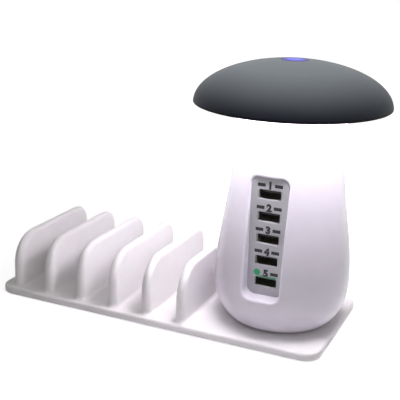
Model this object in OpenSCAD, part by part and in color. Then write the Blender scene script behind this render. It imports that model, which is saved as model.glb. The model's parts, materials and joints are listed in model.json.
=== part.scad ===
// Desktop charging station: a plate with six upright dividers for phones and tablets, and a
// lamp-shaped charger standing on its right end. The tower holds five sockets in a recessed bay,
// a domed cap with a light ring under it, and a touch pad on top.
// The origin is under the middle of the whole object, on the surface that it stands on.
// The sockets face the front, which is -Y. The dividers stand to the left of the tower, along -X.

/* [Base plate] */
// Length of the base plate
rack_l = 212; // [200:1:250]
// Depth of the base plate, front to back
rack_w = 91; // [88:1:110]
// Thickness at the edge of the base plate
rack_t = 4.3; // [4:0.1:7]
// Corner radius of the base plate, seen from above
rack_corner_r = 10; // [6:1:16]
// Quarter-round along the top edge of the plate
rack_edge_r = 1.4; // [0.8:0.1:2]
// Wall that the mould leaves between the hollow underside and the top
rack_skin = 2.2; // [1.6:0.1:2.8]
// Width of the skirt round the hollow underside
rack_skirt = 2.4; // [1.6:0.1:4]
// Width of the stiffening ribs under the plate
rack_rib_t = 1.6; // [1:0.1:3]
// Distance from the tower's axis to the right end of the plate
rack_lamp_end = 37; // [34:1:50]

/* [Dividers] */
// Number of dividers, as far as the plate has room for them
divider_count = 6; // [3:1:6]
// Spacing of the dividers
divider_pitch = 23; // [20:0.5:24]
// Distance from the plate's left end to the middle of the first divider
divider_start = 12; // [10:1:16]
// Height of the dividers above the plate
divider_h = 33.8; // [28:0.5:45]
// Front edge of the dividers, measured from the plate's front edge
divider_front = 4; // [3:0.5:8]
// Rear edge of the dividers, measured from the plate's rear edge
divider_rear = 5.5; // [3:0.5:10]
// Thickness of a divider at its foot
divider_foot_t = 7; // [6:0.2:8]
// Thickness of a divider at its top
divider_top_t = 5; // [4.6:0.2:6]
// Corner radius at the front top of a divider
divider_front_r = 19; // [12:1:26]
// Corner radius at the rear top of a divider
divider_rear_r = 11; // [8:1:16]
// Fillet where a divider meets the plate
divider_fillet = 2.5; // [1:0.5:4]
// Width of the slot that the mould leaves inside a divider
divider_core_t = 2; // [1.4:0.1:2.4]
// Wall over the top and ends of that slot
divider_core_wall = 2.6; // [2:0.2:4]
// Least gap between the foot of the last divider and the widest part of the tower
divider_gap = 1; // [1:0.5:3]

/* [Feet] */
// Radius of a rubber foot
foot_pad_r = 6; // [4:0.5:7]
// Height by which a foot stands proud of the plate's underside
foot_proud = 1.2; // [0.8:0.1:2.5]
// Depth of the recess that holds a foot
foot_seat = 0.6; // [0.4:0.1:1]
// Distance from the plate's front and rear edges to a foot's centre
foot_inset = 12; // [10:0.5:16]
// Distance from the plate's left end to the left feet
foot_left = 23.5; // [22:0.5:26]
// Distance from the plate's right end to the right feet
foot_right = 13; // [12:0.5:20]

/* [Tower] */
// Height of the tower from the plate to the rim of the cap
tower_h = 128.5; // [122:0.5:140]
// Radius of the tower's flat foot
tower_foot_r = 26; // [26:0.5:29]
// Largest radius of the tower
belly_r = 39.9; // [39:0.1:43]
// Height of the largest radius above the plate
belly_z = 25.7; // [24:0.1:28]
// Radius of the neck
neck_r = 32; // [31.6:0.1:34]
// Height above the plate at which the neck starts to run straight
neck_z = 100.7; // [96:0.1:112]
// Wall thickness of the tower
tower_wall = 2.2; // [1.8:0.1:2.6]
// Length of the tower that reaches up into the cap
collar_h = 6; // [5:0.5:7]

/* [Port bay] */
// Distance from the tower's axis to the front of the port panel
panel_y = 30; // [29.4:0.1:30.4]
// Width of the bay's window
bay_w = 21.8; // [21.4:0.1:24]
// Lower end of the window above the plate
bay_z0 = 21.7; // [20:0.1:24]
// Upper end of the window above the plate
bay_z1 = 93.9; // [92:0.1:97]
// Corner radius of the window
bay_r = 4.6; // [2:0.1:6]
// Wall round the bay
bay_wall = 1.5; // [1.2:0.1:2]
// Thickness of the bay's floor
bay_floor = 1.8; // [1.4:0.1:2.4]
// Thickness of the port panel
panel_t = 1; // [0.8:0.1:1.5]
// Gap between the port panel and the bay's walls
panel_fit = 0.15; // [0.1:0.05:0.3]

/* [Sockets] */
// Number of sockets
port_count = 5; // [3:1:5]
// Spacing of the sockets
port_pitch = 12.9; // [12:0.1:13.2]
// Height of the lowest socket's middle above the plate
port_z0 = 31.2; // [30.5:0.1:34]
// Outer width of a socket's metal shell
port_w = 13.1; // [12.8:0.1:13.6]
// Outer height of a socket's metal shell
port_h = 5.7; // [5.4:0.1:6]
// Sheet thickness of a socket's metal shell
port_sheet = 0.3; // [0.2:0.05:0.4]
// Length of a socket
port_len = 14; // [13:0.5:16]
// Gap round a socket in the bay's floor
port_fit = 0.2; // [0.1:0.05:0.4]
// Height of a mouth in the port panel
mouth_h = 5.2; // [4.8:0.1:5.6]
// Width of a mouth in the port panel
mouth_w = 13.2; // [12.8:0.1:13.6]
// Thickness of a socket's tongue
tongue_t = 1.8; // [1.6:0.1:2]
// Width of a socket's tongue
tongue_w = 11; // [10.4:0.1:11.4]
// Distance from a socket's mouth to the tip of its tongue
tongue_back = 3.2; // [3:0.1:4]
// Length of the block at the back of a socket
block_len = 3; // [2.5:0.1:4]
// Width of a contact leaf
leaf_w = 1; // [0.8:0.1:1.2]
// Thickness of a contact leaf
leaf_t = 0.3; // [0.2:0.05:0.4]
// Spacing of the contact leaves
leaf_pitch = 2.4; // [2.1:0.1:2.5]

/* [Cap] */
// Radius of the cap
cap_r = 56; // [54:0.5:62]
// Height of the dome from its rim to its top
cap_h = 25.1; // [24:0.1:30]
// Wall thickness of the cap
cap_wall = 2.4; // [2:0.1:3]
// Radius of the round touch lens
lens_r = 7.5; // [6.5:0.1:9]
// Gap round the lens, the diffuser and the lamp frame
cap_fit = 0.2; // [0.1:0.05:0.4]
// Width of the lens's flange, inside the cap
lens_flange = 1.8; // [1.2:0.1:2.5]
// Radius of the light guide under the lens
guide_r = 2.5; // [2:0.1:3]
// Radius of the touch spring, to the middle of its wire
spring_r = 5; // [4:0.1:6]
// Radius of the touch spring's wire
spring_wire_r = 0.4; // [0.3:0.05:0.5]
// Turns of the touch spring
spring_turns = 4; // [3:1:5]

/* [Light] */
// Thickness of the lamp frame's disc
frame_t = 2; // [1.6:0.1:3]
// Depth of the frame's spigot inside the neck
spigot_h = 4; // [3:0.5:6]
// Radius of the hole in the middle of the frame
frame_hole_r = 12; // [11.5:0.5:13]
// Thickness of the opal diffuser ring
diffuser_t = 1.8; // [1.2:0.1:2.5]
// Height of the diffuser's underside above the cap's rim
diffuser_lift = 0.6; // [0.4:0.1:1.2]
// Width of the ring board
ring_board_w = 10; // [8:0.5:11]
// Number of light-emitting chips on the ring board
chip_count = 24; // [12:1:30]
// Length of a light-emitting chip along the ring
chip_l = 3.5; // [2.8:0.1:4]
// Width of a light-emitting chip across the ring
chip_w = 2.8; // [2:0.1:3.5]
// Height of a light-emitting chip
chip_h = 0.8; // [0.6:0.1:1]
// Radius of the leads to the ring board
ring_lead_r = 0.7; // [0.4:0.1:0.8]
// Spacing of the leads to the ring board
ring_lead_pitch = 3; // [2.6:0.2:4]
// Bend radius of those leads at the ring board
ring_lead_bend = 0.9; // [0.8:0.1:1.2]
// Distance from the cap's ledge in to those leads
ring_lead_in = 2; // [1.2:0.1:2.5]
// Radius of the leads up the tower
lamp_lead_r = 0.8; // [0.5:0.1:1]
// Spacing of the leads up the tower
lamp_lead_pitch = 4; // [3:0.5:6]
// Distance from the tower's axis back to those leads
lamp_lead_back = 10.5; // [10:0.5:11]

/* [Boards] */
// Thickness of every circuit board
board_t = 1.6; // [1.2:0.1:1.8]
// Width of the mains board
mains_w = 44; // [42:1:46]
// Front edge of the mains board, in front of the tower's axis
mains_front = 23.5; // [23.5:0.5:25]
// Rear edge of the mains board, behind the tower's axis
mains_rear = 26; // [25:0.5:27]
// Height of the mains board's top above the plate
mains_z = 16; // [15:0.5:17]
// Width of the socket board
port_board_w = 24.4; // [24.4:0.1:26]
// Height of the socket board's lower edge above the plate
port_board_z0 = 23; // [22:0.5:24]
// Height of the socket board's upper edge above the plate
port_board_z1 = 92; // [90:0.5:96]
// Radius of the control board under the cap
control_r = 15; // [14.5:0.5:18]

/* [Mains parts] */
// Gap between the mains board's side edges and the parts along them
part_edge = 1; // [0.6:0.2:2]
// Length of the fuse
fuse_l = 10; // [8:0.5:10.5]
// Radius of the fuse
fuse_r = 1.7; // [1.4:0.1:2]
// Width and height of a fuse clip
fuse_clip = 4; // [3.6:0.2:5]
// Distance from the tower's axis back to the fuse
fuse_back = 19.5; // [19:0.5:21]
// Length of the bridge rectifier
bridge_l = 10; // [8:0.5:10.5]
// Thickness of the bridge rectifier
bridge_t = 3.5; // [3:0.1:4]
// Height of the bridge rectifier
bridge_h = 9; // [7:0.5:12]
// Distance from the tower's axis back to the bridge rectifier
bridge_back = 17.5; // [17:0.5:20]
// Radius of the smoothing capacitor
can_r = 5.6; // [4.5:0.1:5.8]
// Height of the smoothing capacitor
can_h = 22; // [18:0.5:26]
// Distance from the tower's axis forward to the smoothing capacitor
can_front = 5; // [4:0.5:5]
// Length of the transformer's core
core_l = 18; // [16:0.5:18.5]
// Thickness of the transformer's core, front to back
core_d = 9; // [7:0.5:10]
// Height of the transformer's core
core_h = 17; // [15:0.5:20]
// Height of the core above the board
core_lift = 2; // [1.5:0.1:3]
// Thickness of the core above and below its windows
core_yoke = 2.6; // [2:0.1:3.5]
// Width of the core's middle limb
core_limb = 7; // [6:0.2:7.6]
// Width of a window in the core
core_window = 3.4; // [3:0.1:3.6]
// Depth of the bobbin, front to back
bobbin_d = 16; // [14:0.5:16]
// Length of a pin block under the bobbin
bobbin_block = 3.3; // [2:0.1:3.4]
// Distance from the tower's axis to the left of the core's middle
core_left = 1; // [1:0.2:2]
// Distance from the tower's axis back to the core's middle
core_back = 1; // [1:0.1:1.2]
// Length of the heat sink
sink_l = 16; // [12:0.5:17]
// Thickness of the heat sink's sheet
sink_t = 1.6; // [1:0.1:1.6]
// Height of the heat sink
sink_h = 20; // [16:0.5:24]
// Depth of the heat sink's fins
fin_d = 1.4; // [1:0.1:1.6]
// Gap between the fins and the bobbin
sink_gap = 0.7; // [0.5:0.1:0.8]
// Radius of the choke's ring at the middle of its winding
choke_r = 3.3; // [2.6:0.1:3.4]
// Radius of the choke's winding
choke_wire_r = 1.9; // [1.4:0.1:1.9]
// Distance from the tower's axis forward to the choke
choke_front = 16.6; // [16.4:0.1:17]
// Radius of an output capacitor
small_can_r = 4; // [3:0.1:4]
// Height of an output capacitor
small_can_h = 13; // [10:0.5:16]
// Distance from the tower's axis forward to the nearer output capacitor
small_can_front = 4; // [3:0.5:5]
// Spacing of the output capacitors
small_can_pitch = 9.5; // [9:0.5:11]

/* [Mains inlet] */
// Width of the inlet
inlet_w = 20; // [19:0.5:22]
// Height of the inlet
inlet_h = 12.4; // [12:0.2:14]
// Depth of the inlet's housing, front to back
inlet_l = 20; // [18:0.5:21]
// Wall of the inlet's housing
inlet_wall = 1.5; // [1.2:0.1:1.8]
// Depth of the inlet's mouth
inlet_mouth = 13; // [11:0.5:14]
// Radius of an inlet pin
inlet_pin_r = 1.2; // [1:0.05:1.3]
// Spacing of the inlet pins
inlet_pin_pitch = 8.6; // [8:0.1:9]
// Corner radius of the inlet
inlet_r = 2; // [1:0.5:3]
// Gap round the inlet in the tower's wall
inlet_fit = 0.2; // [0.1:0.05:0.4]

/* [Screws] */
// Radius of a screw's shank
screw_r = 1.3; // [1:0.05:1.4]
// Radius of a screw's head
screw_head_r = 2.6; // [2.4:0.1:2.8]
// Height of a screw's head
screw_head_h = 1.4; // [1.2:0.1:1.6]
// Gap between a screw and its hole
screw_fit = 0.1; // [0.05:0.05:0.15]
// Radius of a screw post
post_r = 3; // [2.6:0.1:3.2]
// Length of the screws that hold the base cover
cover_screw_l = 6; // [5:0.5:7]
// Length of the screws that hold the mains board
mains_screw_l = 5; // [4:0.5:6]
// Length of the screws that hold the lamp frame
frame_screw_l = 8; // [6:0.5:9]
// Reach of the screws from the plate into the base cover
rack_screw_grip = 3; // [2:0.5:4]
// Height of the posts on the base cover
cover_post_h = 6; // [5:0.5:8]
// Radius of a socket board screw's shank
small_screw_r = 0.95; // [0.8:0.05:1]
// Radius of a socket board screw's head
small_head_r = 1.9; // [1.6:0.1:2]
// Height of a socket board screw's head
small_head_h = 1.2; // [1:0.1:1.4]
// Length of a socket board screw
small_screw_l = 6; // [5:0.5:7]
// Radius of the posts that carry the socket board
small_post_r = 2; // [1.8:0.1:2.2]
// Distance from the tower's axis to the posts of the base cover and the mains board
post_pcd_r = 20; // [19.5:0.1:20.4]
// Thickness of the base cover
cover_t = 2.5; // [2:0.1:3]
// Gap round the base cover
cover_fit = 0.2; // [0.1:0.05:0.4]
// Distance from the tower's axis to the screws that hold it to the plate
rack_screw_pcd_r = 12; // [11:0.5:13]

/* [Hidden] */
$fn = 96;
// Steps along a quarter of a curved profile
arc_steps = 14;
// Steps along the shoulder between belly and neck
shoulder_steps = 26;
// Sides of the spring's wire and steps along one of its turns
spring_sides = 8;
spring_steps = 20;
// Overlap that makes touching shapes of one piece into one solid
bite = 0.3;
// Where the tower stands: the whole object is centred on the origin
overall_l = rack_l - rack_lamp_end + cap_r;
lamp_x = overall_l / 2 - cap_r;
rack_x = rack_l / 2 - overall_l / 2;
deck_z = foot_proud + rack_t;
rim_z = deck_z + tower_h;
cavity_r = neck_r - tower_wall;
cover_r = tower_foot_r - 2.4;
pocket_d = rack_t - rack_skin;
divider_len = rack_w - divider_front - divider_rear;
divider_y = (divider_front - divider_rear) / 2;
divider_room = rack_l - rack_lamp_end - belly_r - divider_gap - divider_foot_t / 2 - divider_start;
divider_places = min(divider_count, floor(divider_room / divider_pitch) + 1);
hole_r = screw_r + screw_fit;
panel_back_y = -panel_y + panel_t;
floor_back_y = panel_back_y + bay_floor;
socket_front_y = panel_back_y + screw_fit;
socket_back_y = socket_front_y + port_len;
leaf_front_y = socket_front_y + tongue_back + 1;
bay_mid_z = (bay_z0 + bay_z1) / 2;
bay_tall = bay_z1 - bay_z0;
port_board_mid_z = (port_board_z0 + port_board_z1) / 2;
port_board_tall = port_board_z1 - port_board_z0;
board_post_x = port_w / 2 + port_fit + 0.6 + small_post_r;
board_post_dz = port_board_tall / 2 - small_post_r - 3;
small_hole_r = small_screw_r + screw_fit / 2;
post_angles = [30, 150, 270];
rack_screw_angles = [90, 210, 330];
neck_post_angles = [30, 150, 270];
neck_post_pcd_r = cavity_r - post_r + bite;
neck_post_h = 12;
neck_post_top = tower_h + collar_h - spigot_h;
frame_r = cap_inner_r(collar_h + frame_t) - 2.4;
ledge_w = 3.2;
ledge_t = 2;
ring_mid_r = (neck_r + cap_inner_r(collar_h)) / 2;
ring_lead_x = frame_r - ledge_w - ring_lead_in;
spigot_seat = 2;
core_mid_x = -core_left;
window_x = (core_limb + core_window) / 2;
window_z0 = core_lift + core_yoke;
window_h = core_h - 2 * core_yoke;
core_mid_z = core_lift + core_h / 2;
choke_out_r = choke_r + choke_wire_r;
inlet_face_y = sqrt(belly_r * belly_r - inlet_w * inlet_w / 4) - 0.6;
inlet_mid_z = mains_z + inlet_h / 2;
mains_mid_y = (mains_rear - mains_front) / 2;
mains_d = mains_rear + mains_front;
foot_y = rack_w / 2 - foot_inset;
foot_spots = [[foot_left - rack_l / 2, -foot_y], [rack_l / 2 - foot_right, -foot_y],
    [rack_l / 2 - foot_right, foot_y], [foot_left - rack_l / 2, foot_y]];

// Radius of the tower at a height above the plate: a quarter ellipse up to the belly, half a
// cosine wave from the belly in to the neck, then straight.
function tower_r(z) =
    z < belly_z ? tower_foot_r + (belly_r - tower_foot_r) * sqrt(1 - pow(1 - z / belly_z, 2)) :
    z < neck_z ? neck_r + (belly_r - neck_r) * (1 + cos(180 * (z - belly_z) / (neck_z - belly_z))) / 2 :
    neck_r;
function tower_heights() = concat(
    [for (i = [0:arc_steps]) belly_z * (1 - cos(90 * i / arc_steps))],
    [for (i = [1:shoulder_steps]) belly_z + (neck_z - belly_z) * i / shoulder_steps]);
// Points of the tower's outline, moved in by a wall
function tower_outline(inset) = [for (z = tower_heights()) [tower_r(z) - inset, z]];
// Height of the dome above its rim at a radius, for an ellipse that is smaller by an inset
function dome_z(r, inset) = (cap_h - inset) * sqrt(max(0, 1 - pow(r / (cap_r - inset), 2)));
// Radius of the inside of the cap at a height above its rim
function cap_inner_r(z) = (cap_r - cap_wall) * sqrt(1 - pow(z / (cap_h - cap_wall), 2));
function dome_outline(inset) = [for (i = [0:arc_steps])
    [(cap_r - inset) * cos(90 * i / arc_steps), (cap_h - inset) * sin(90 * i / arc_steps)]];
function port_z(i) = port_z0 + (port_count - i) * port_pitch;

// Shapes that repeat

module at_tower() translate([lamp_x, 0, deck_z]) children();
module at_rim() translate([lamp_x, 0, rim_z]) children();
module round_rect(l, w, r) {
    square([l - 2 * r, w], center = true);
    square([l, w - 2 * r], center = true);
    for (x = [-1, 1], y = [-1, 1]) translate([x * (l / 2 - r), y * (w / 2 - r)]) circle(r = r);
}
// Block with round corners whose length runs along X, width along Z and height from y0 to y1
module front_block(l, w, r, y0, y1) translate([0, y1, 0]) rotate([90, 0, 0])
    linear_extrude(y1 - y0) round_rect(l, w, r);
// Plate with round corners and a quarter-round along its top edge
module soft_plate(l, w, h, r, e) {
    linear_extrude(h - e) round_rect(l, w, r);
    linear_extrude(h) round_rect(l - 2 * e, w - 2 * e, r - e);
    for (y = [-1, 1]) translate([0, y * (w / 2 - e), h - e]) rotate([0, 90, 0])
        cylinder(r = e, h = l - 2 * r, center = true);
    for (x = [-1, 1]) translate([x * (l / 2 - e), 0, h - e]) rotate([90, 0, 0])
        cylinder(r = e, h = w - 2 * r, center = true);
    for (x = [-1, 1], y = [-1, 1]) translate([x * (l / 2 - r), y * (w / 2 - r), h - e])
        rotate_extrude() translate([r - e, 0]) circle(r = e);
}
module around(angles, r) for (a = angles) rotate([0, 0, a]) translate([r, 0, 0]) children();
// Pan-head screw that points up, with the seat of its head at the origin and a cross in its head
module screw(len) difference() {
    union() {
        cylinder(r = screw_r, h = len);
        translate([0, 0, -screw_head_h]) cylinder(r = screw_head_r, h = screw_head_h);
    }
    for (a = [0, 90]) rotate([0, 0, a]) translate([0, 0, -screw_head_h])
        cube([screw_head_r, screw_head_r / 4, screw_head_h], center = true);
}
module screw_down(len) mirror([0, 0, 1]) screw(len);

// Rack: base plate and dividers, one moulding

module divider_ring(r, z) translate([0, 0, z - r]) rotate([90, 0, 90])
    rotate_extrude(angle = 90, $fn = 36) translate([r - divider_top_t / 2, 0])
        circle(r = divider_top_t / 2, $fn = 14);
// One divider, thicker at its foot, with a large round at the front and a smaller one at the rear
module divider_blade() hull() {
    translate([0, divider_len / 2 - divider_rear_r, 0]) divider_ring(divider_rear_r, divider_h);
    translate([0, -divider_len / 2 + divider_front_r, 0]) mirror([0, 1, 0])
        divider_ring(divider_front_r, divider_h);
    for (y = [-1, 1]) translate([0, y * (divider_len - divider_foot_t) / 2, -bite])
        cylinder(r = divider_foot_t / 2, h = bite, $fn = 24);
}
module fillet_section() difference() {
    translate([-0.6, -bite]) square([divider_fillet + 0.6, divider_fillet + bite]);
    translate([divider_fillet, divider_fillet]) circle(r = divider_fillet);
}
// Fillet round the foot of a divider
module divider_foot() {
    straight = divider_len - divider_foot_t;
    for (y = [0, 180]) rotate([0, 0, y]) {
        translate([divider_foot_t / 2, straight / 2, 0]) rotate([90, 0, 0])
            linear_extrude(straight) fillet_section();
        translate([0, straight / 2, 0]) rotate_extrude(angle = 180)
            translate([divider_foot_t / 2, 0]) fillet_section();
    }
}
// Slot that the mould leaves inside a divider
module divider_core() {
    front = divider_front_r - divider_core_wall;
    rear = divider_rear_r - divider_core_wall;
    low = -divider_len / 2 + divider_core_wall;
    high = divider_len / 2 - divider_core_wall;
    top = divider_h - divider_core_wall;
    translate([-divider_core_t / 2, 0, 0]) rotate([90, 0, 90]) linear_extrude(divider_core_t) {
        translate([low, -rack_t]) square([high - low, rack_t + top - front]);
        translate([low + front, 0]) square([high - low - front - rear, top]);
        translate([low + front, top - front]) circle(r = front);
        translate([high - rear, -rack_t]) square([rear, rack_t + top - rear]);
        translate([high - rear, top - rear]) circle(r = rear);
    }
}
module at_dividers() for (i = [0:divider_places - 1])
    translate([divider_start - rack_l / 2 + i * divider_pitch, divider_y, rack_t]) children();
// What stays solid inside the hollow underside
module rack_stays() {
    at_dividers() translate([0, 0, -rack_t / 2])
        cube([divider_core_t + 2 * rack_rib_t, rack_w, rack_t + 1], center = true);
    for (y = [-1, 1]) translate([0, y * rack_w / 5, rack_t / 2])
        cube([rack_l, rack_rib_t, rack_t + 1], center = true);
    for (s = foot_spots) translate([s[0], s[1], -1])
        cylinder(r = foot_pad_r + 2, h = rack_t + 1);
    translate([lamp_x - rack_x, 0, -1]) difference() {
        cylinder(r = rack_screw_pcd_r + screw_head_r + 2.4, h = rack_t + 1);
        cylinder(r = rack_screw_pcd_r - screw_head_r - 2.4, h = rack_t + 1);
    }
}
module rack() color("whitesmoke") translate([rack_x, 0, foot_proud]) difference() {
    union() {
        soft_plate(rack_l, rack_w, rack_t, rack_corner_r, rack_edge_r);
        at_dividers() divider_blade();
        at_dividers() divider_foot();
    }
    difference() {
        translate([0, 0, -1]) linear_extrude(pocket_d + 1)
            round_rect(rack_l - 2 * rack_skirt, rack_w - 2 * rack_skirt, rack_corner_r - rack_skirt);
        rack_stays();
    }
    at_dividers() divider_core();
    for (s = foot_spots) translate([s[0], s[1], -1])
        cylinder(r = foot_pad_r + cover_fit, h = foot_seat + 1);
    translate([lamp_x - rack_x, 0, 0]) around(rack_screw_angles, rack_screw_pcd_r) {
        translate([0, 0, -1]) cylinder(r = hole_r, h = rack_t + 2);
        translate([0, 0, -1]) cylinder(r = screw_head_r + 2 * screw_fit, h = screw_head_h + 1.2);
    }
}
module foot(n) color("dimgray")
    translate([rack_x + foot_spots[n - 1][0], foot_spots[n - 1][1], 0]) rotate_extrude()
        polygon([[0, 0], [foot_pad_r - 0.6, 0], [foot_pad_r, 0.6], [foot_pad_r, foot_proud + foot_seat],
            [0, foot_proud + foot_seat]]);

// Tower

module tower_solid() rotate_extrude() polygon(concat([[0, 0]], tower_outline(0),
    [[neck_r, tower_h + collar_h], [0, tower_h + collar_h]]));
module tower_cavity() {
    low = cover_t + 0.5;
    rotate_extrude() polygon(concat([[0, low]],
        [for (p = tower_outline(tower_wall)) [p[0], max(p[1], low)]],
        [[cavity_r, tower_h + collar_h + 1], [0, tower_h + collar_h + 1]]));
}
// What stands at the four posts of the socket board, with its length running back from a depth y
module at_board_posts(y) for (x = [-1, 1], z = [-1, 1])
    translate([x * board_post_x, y, port_board_mid_z + z * board_post_dz]) rotate([-90, 0, 0]) children();
// Post with a web that ties it to the wall
module webbed_post(z0, z1, r, web) {
    translate([0, 0, z0]) cylinder(r = r, h = z1 - z0);
    translate([0, -0.8, z0]) cube([web, 1.6, z1 - z0]);
}
module tower_posts() {
    intersection() {
        around(post_angles, post_pcd_r) webbed_post(cover_t, mains_z - board_t, post_r, belly_r - post_pcd_r);
        tower_solid();
    }
    intersection() {
        around(neck_post_angles, neck_post_pcd_r)
            webbed_post(neck_post_top - neck_post_h, neck_post_top, post_r, post_r);
        tower_solid();
    }
    at_board_posts(floor_back_y - bite) cylinder(r = small_post_r, h = socket_back_y - floor_back_y + bite);
}
module bay_block(grow, y0, y1) translate([0, 0, bay_mid_z])
    front_block(bay_w + 2 * grow, bay_tall + 2 * grow, bay_r + grow, y0, y1);
// Tower shell: turned wall, recessed bay with its floor, screw posts and the inlet's opening
module body_shell() color("white") at_tower() difference() {
    union() {
        difference() {
            tower_solid();
            tower_cavity();
            translate([0, 0, -1]) cylinder(r = cover_r + cover_fit, h = cover_t + 2);
        }
        intersection() {
            tower_solid();
            bay_block(bay_wall, -belly_r - 1, floor_back_y);
        }
        tower_posts();
    }
    bay_block(0, -belly_r - 1, panel_back_y);
    for (i = [1:port_count]) translate([0, 0, port_z(i)])
        front_block(port_w + 2 * port_fit, port_h + 2 * port_fit, 0.6, panel_back_y - 1, floor_back_y + 1);
    at_board_posts(socket_back_y - small_screw_l) cylinder(r = small_hole_r, h = small_screw_l + 1);
    around(post_angles, post_pcd_r) translate([0, 0, -1]) cylinder(r = hole_r, h = mains_z + 2);
    around(neck_post_angles, neck_post_pcd_r)
        translate([0, 0, neck_post_top - frame_screw_l - spigot_seat])
            cylinder(r = hole_r, h = frame_screw_l + spigot_seat + 1);
    translate([0, 0, inlet_mid_z])
        front_block(inlet_w + 2 * inlet_fit, inlet_h + 2 * inlet_fit, inlet_r + inlet_fit, mains_rear, belly_r + 1);
}
// Cover that closes the tower from below, with posts for the screws from the plate
module base_cover() color("gainsboro") at_tower() difference() {
    union() {
        cylinder(r = cover_r, h = cover_t);
        around(rack_screw_angles, rack_screw_pcd_r) cylinder(r = post_r, h = cover_t + cover_post_h);
    }
    around(post_angles, post_pcd_r) {
        translate([0, 0, -1]) cylinder(r = hole_r, h = cover_t + 2);
        translate([0, 0, -1]) cylinder(r = screw_head_r + 2 * screw_fit, h = screw_head_h + 1);
    }
    around(rack_screw_angles, rack_screw_pcd_r) translate([0, 0, -1])
        cylinder(r = hole_r, h = cover_t + cover_post_h - 0.4);
}
// Plate in the bay with the socket mouths
module port_panel() color("silver") at_tower() difference() {
    bay_block(-panel_fit, -panel_y, panel_back_y);
    for (i = [1:port_count]) translate([0, 0, port_z(i)])
        front_block(mouth_w, mouth_h, 0.5, -panel_y - 1, panel_back_y + 1);
}

// Sockets

module at_port(i) at_tower() translate([0, 0, port_z(i)]) children();
// Folded metal shell with a seam underneath and two spring tongues on its top
module usb_shell(i) color("lightgray") at_port(i) difference() {
    front_block(port_w, port_h, 0.7, socket_front_y, socket_back_y);
    front_block(port_w - 2 * port_sheet, port_h - 2 * port_sheet, 0.4, socket_front_y - 1, socket_back_y + 1);
    translate([0, (socket_front_y + socket_back_y) / 2, -port_h / 2])
        cube([0.2, port_len + 2, 1], center = true);
    for (x = [-1, 1]) translate([x * port_w / 4, socket_front_y + port_len / 2, port_h / 2]) difference() {
        cube([2.4, 6, 1], center = true);
        translate([0, 0.6, 0]) cube([1.6, 6, 2], center = true);
    }
}
// Moulded insulator: a block that fills the back of the shell and a tongue above the middle
module usb_tongue(i) color("darkslategray") at_port(i) {
    gap = 0.05;
    in_w = port_w - 2 * port_sheet - 2 * gap;
    in_h = port_h - 2 * port_sheet - 2 * gap;
    tongue_top = in_h / 2 - 0.5;
    difference() {
        union() {
            front_block(in_w, in_h, 0.35, socket_back_y - block_len, socket_back_y);
            translate([-tongue_w / 2, socket_front_y + tongue_back, tongue_top - tongue_t])
                cube([tongue_w, port_len - tongue_back - block_len + bite, tongue_t]);
        }
        for (k = [-1.5:1:1.5])
            translate([k * leaf_pitch - leaf_w / 2 - gap, leaf_front_y - 0.2, tongue_top - tongue_t - 1])
            cube([leaf_w + 2 * gap, port_len, leaf_t + 1 + gap]);
    }
}
// Four contact leaves in the underside of the tongue
module usb_contacts(i) color("gold") at_port(i) {
    leaf_z = (port_h - 2 * port_sheet) / 2 - 0.05 - 0.5 - tongue_t;
    for (k = [-1.5:1:1.5]) translate([k * leaf_pitch - leaf_w / 2, leaf_front_y, leaf_z])
        cube([leaf_w, socket_back_y - leaf_front_y, leaf_t]);
}
// Upright board that carries the sockets
module socket_board() color("seagreen") at_tower() difference() {
    translate([-port_board_w / 2, socket_back_y, port_board_z0])
        cube([port_board_w, board_t, port_board_tall]);
    at_board_posts(socket_back_y - 1) cylinder(r = small_screw_r + 2 * screw_fit, h = board_t + 2);
}
module socket_screws() color("gray") at_tower() at_board_posts(socket_back_y + board_t) {
    translate([0, 0, -small_screw_l]) cylinder(r = small_screw_r, h = small_screw_l);
    cylinder(r = small_head_r, h = small_head_h);
}
// Row of pins in a bar, between the mains board and the socket board
module board_header() color("black") at_tower() {
    bar_h = port_board_z0 - mains_z + 4;
    translate([-7, socket_back_y + board_t, mains_z]) cube([14, 2.4, bar_h]);
}

// Mains board and what stands on it

module mains_board() color("darkgreen") at_tower() difference() {
    translate([0, mains_mid_y, mains_z - board_t]) linear_extrude(board_t) round_rect(mains_w, mains_d, 3);
    around(post_angles, post_pcd_r) translate([0, 0, mains_z - board_t - 1])
        cylinder(r = hole_r, h = board_t + 2);
}
module on_mains(x, y) at_tower() translate([x, y, mains_z]) children();
// Inlet for a two-pin mains lead, with its figure-eight mouth
module ac_inlet() color("black") at_tower() translate([0, 0, inlet_mid_z]) difference() {
    front_block(inlet_w, inlet_h, inlet_r, inlet_face_y - inlet_l, inlet_face_y);
    lobe_r = inlet_h / 2 - inlet_wall;
    for (x = [-1, 1]) translate([x * (inlet_w / 2 - inlet_wall - lobe_r), inlet_face_y - inlet_mouth, 0])
        rotate([-90, 0, 0]) cylinder(r = lobe_r, h = inlet_mouth + 1);
    translate([0, inlet_face_y - inlet_mouth / 2 + 0.5, 0])
        cube([inlet_w - 2 * inlet_wall - 2 * lobe_r, inlet_mouth + 1, 2 * lobe_r - 1], center = true);
    for (x = [-1, 1]) translate([x * inlet_pin_pitch / 2, inlet_face_y - inlet_l - 1, 0])
        rotate([-90, 0, 0]) cylinder(r = inlet_pin_r + 0.02, h = inlet_l);
}
module inlet_pins() color("gainsboro") at_tower() translate([0, 0, inlet_mid_z])
    for (x = [-1, 1]) translate([x * inlet_pin_pitch / 2, inlet_face_y - inlet_l - 1, 0])
        rotate([-90, 0, 0]) {
            cylinder(r = inlet_pin_r, h = inlet_l - 1.5);
            translate([0, 0, inlet_l - 1.5]) sphere(r = inlet_pin_r);
        }
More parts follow.
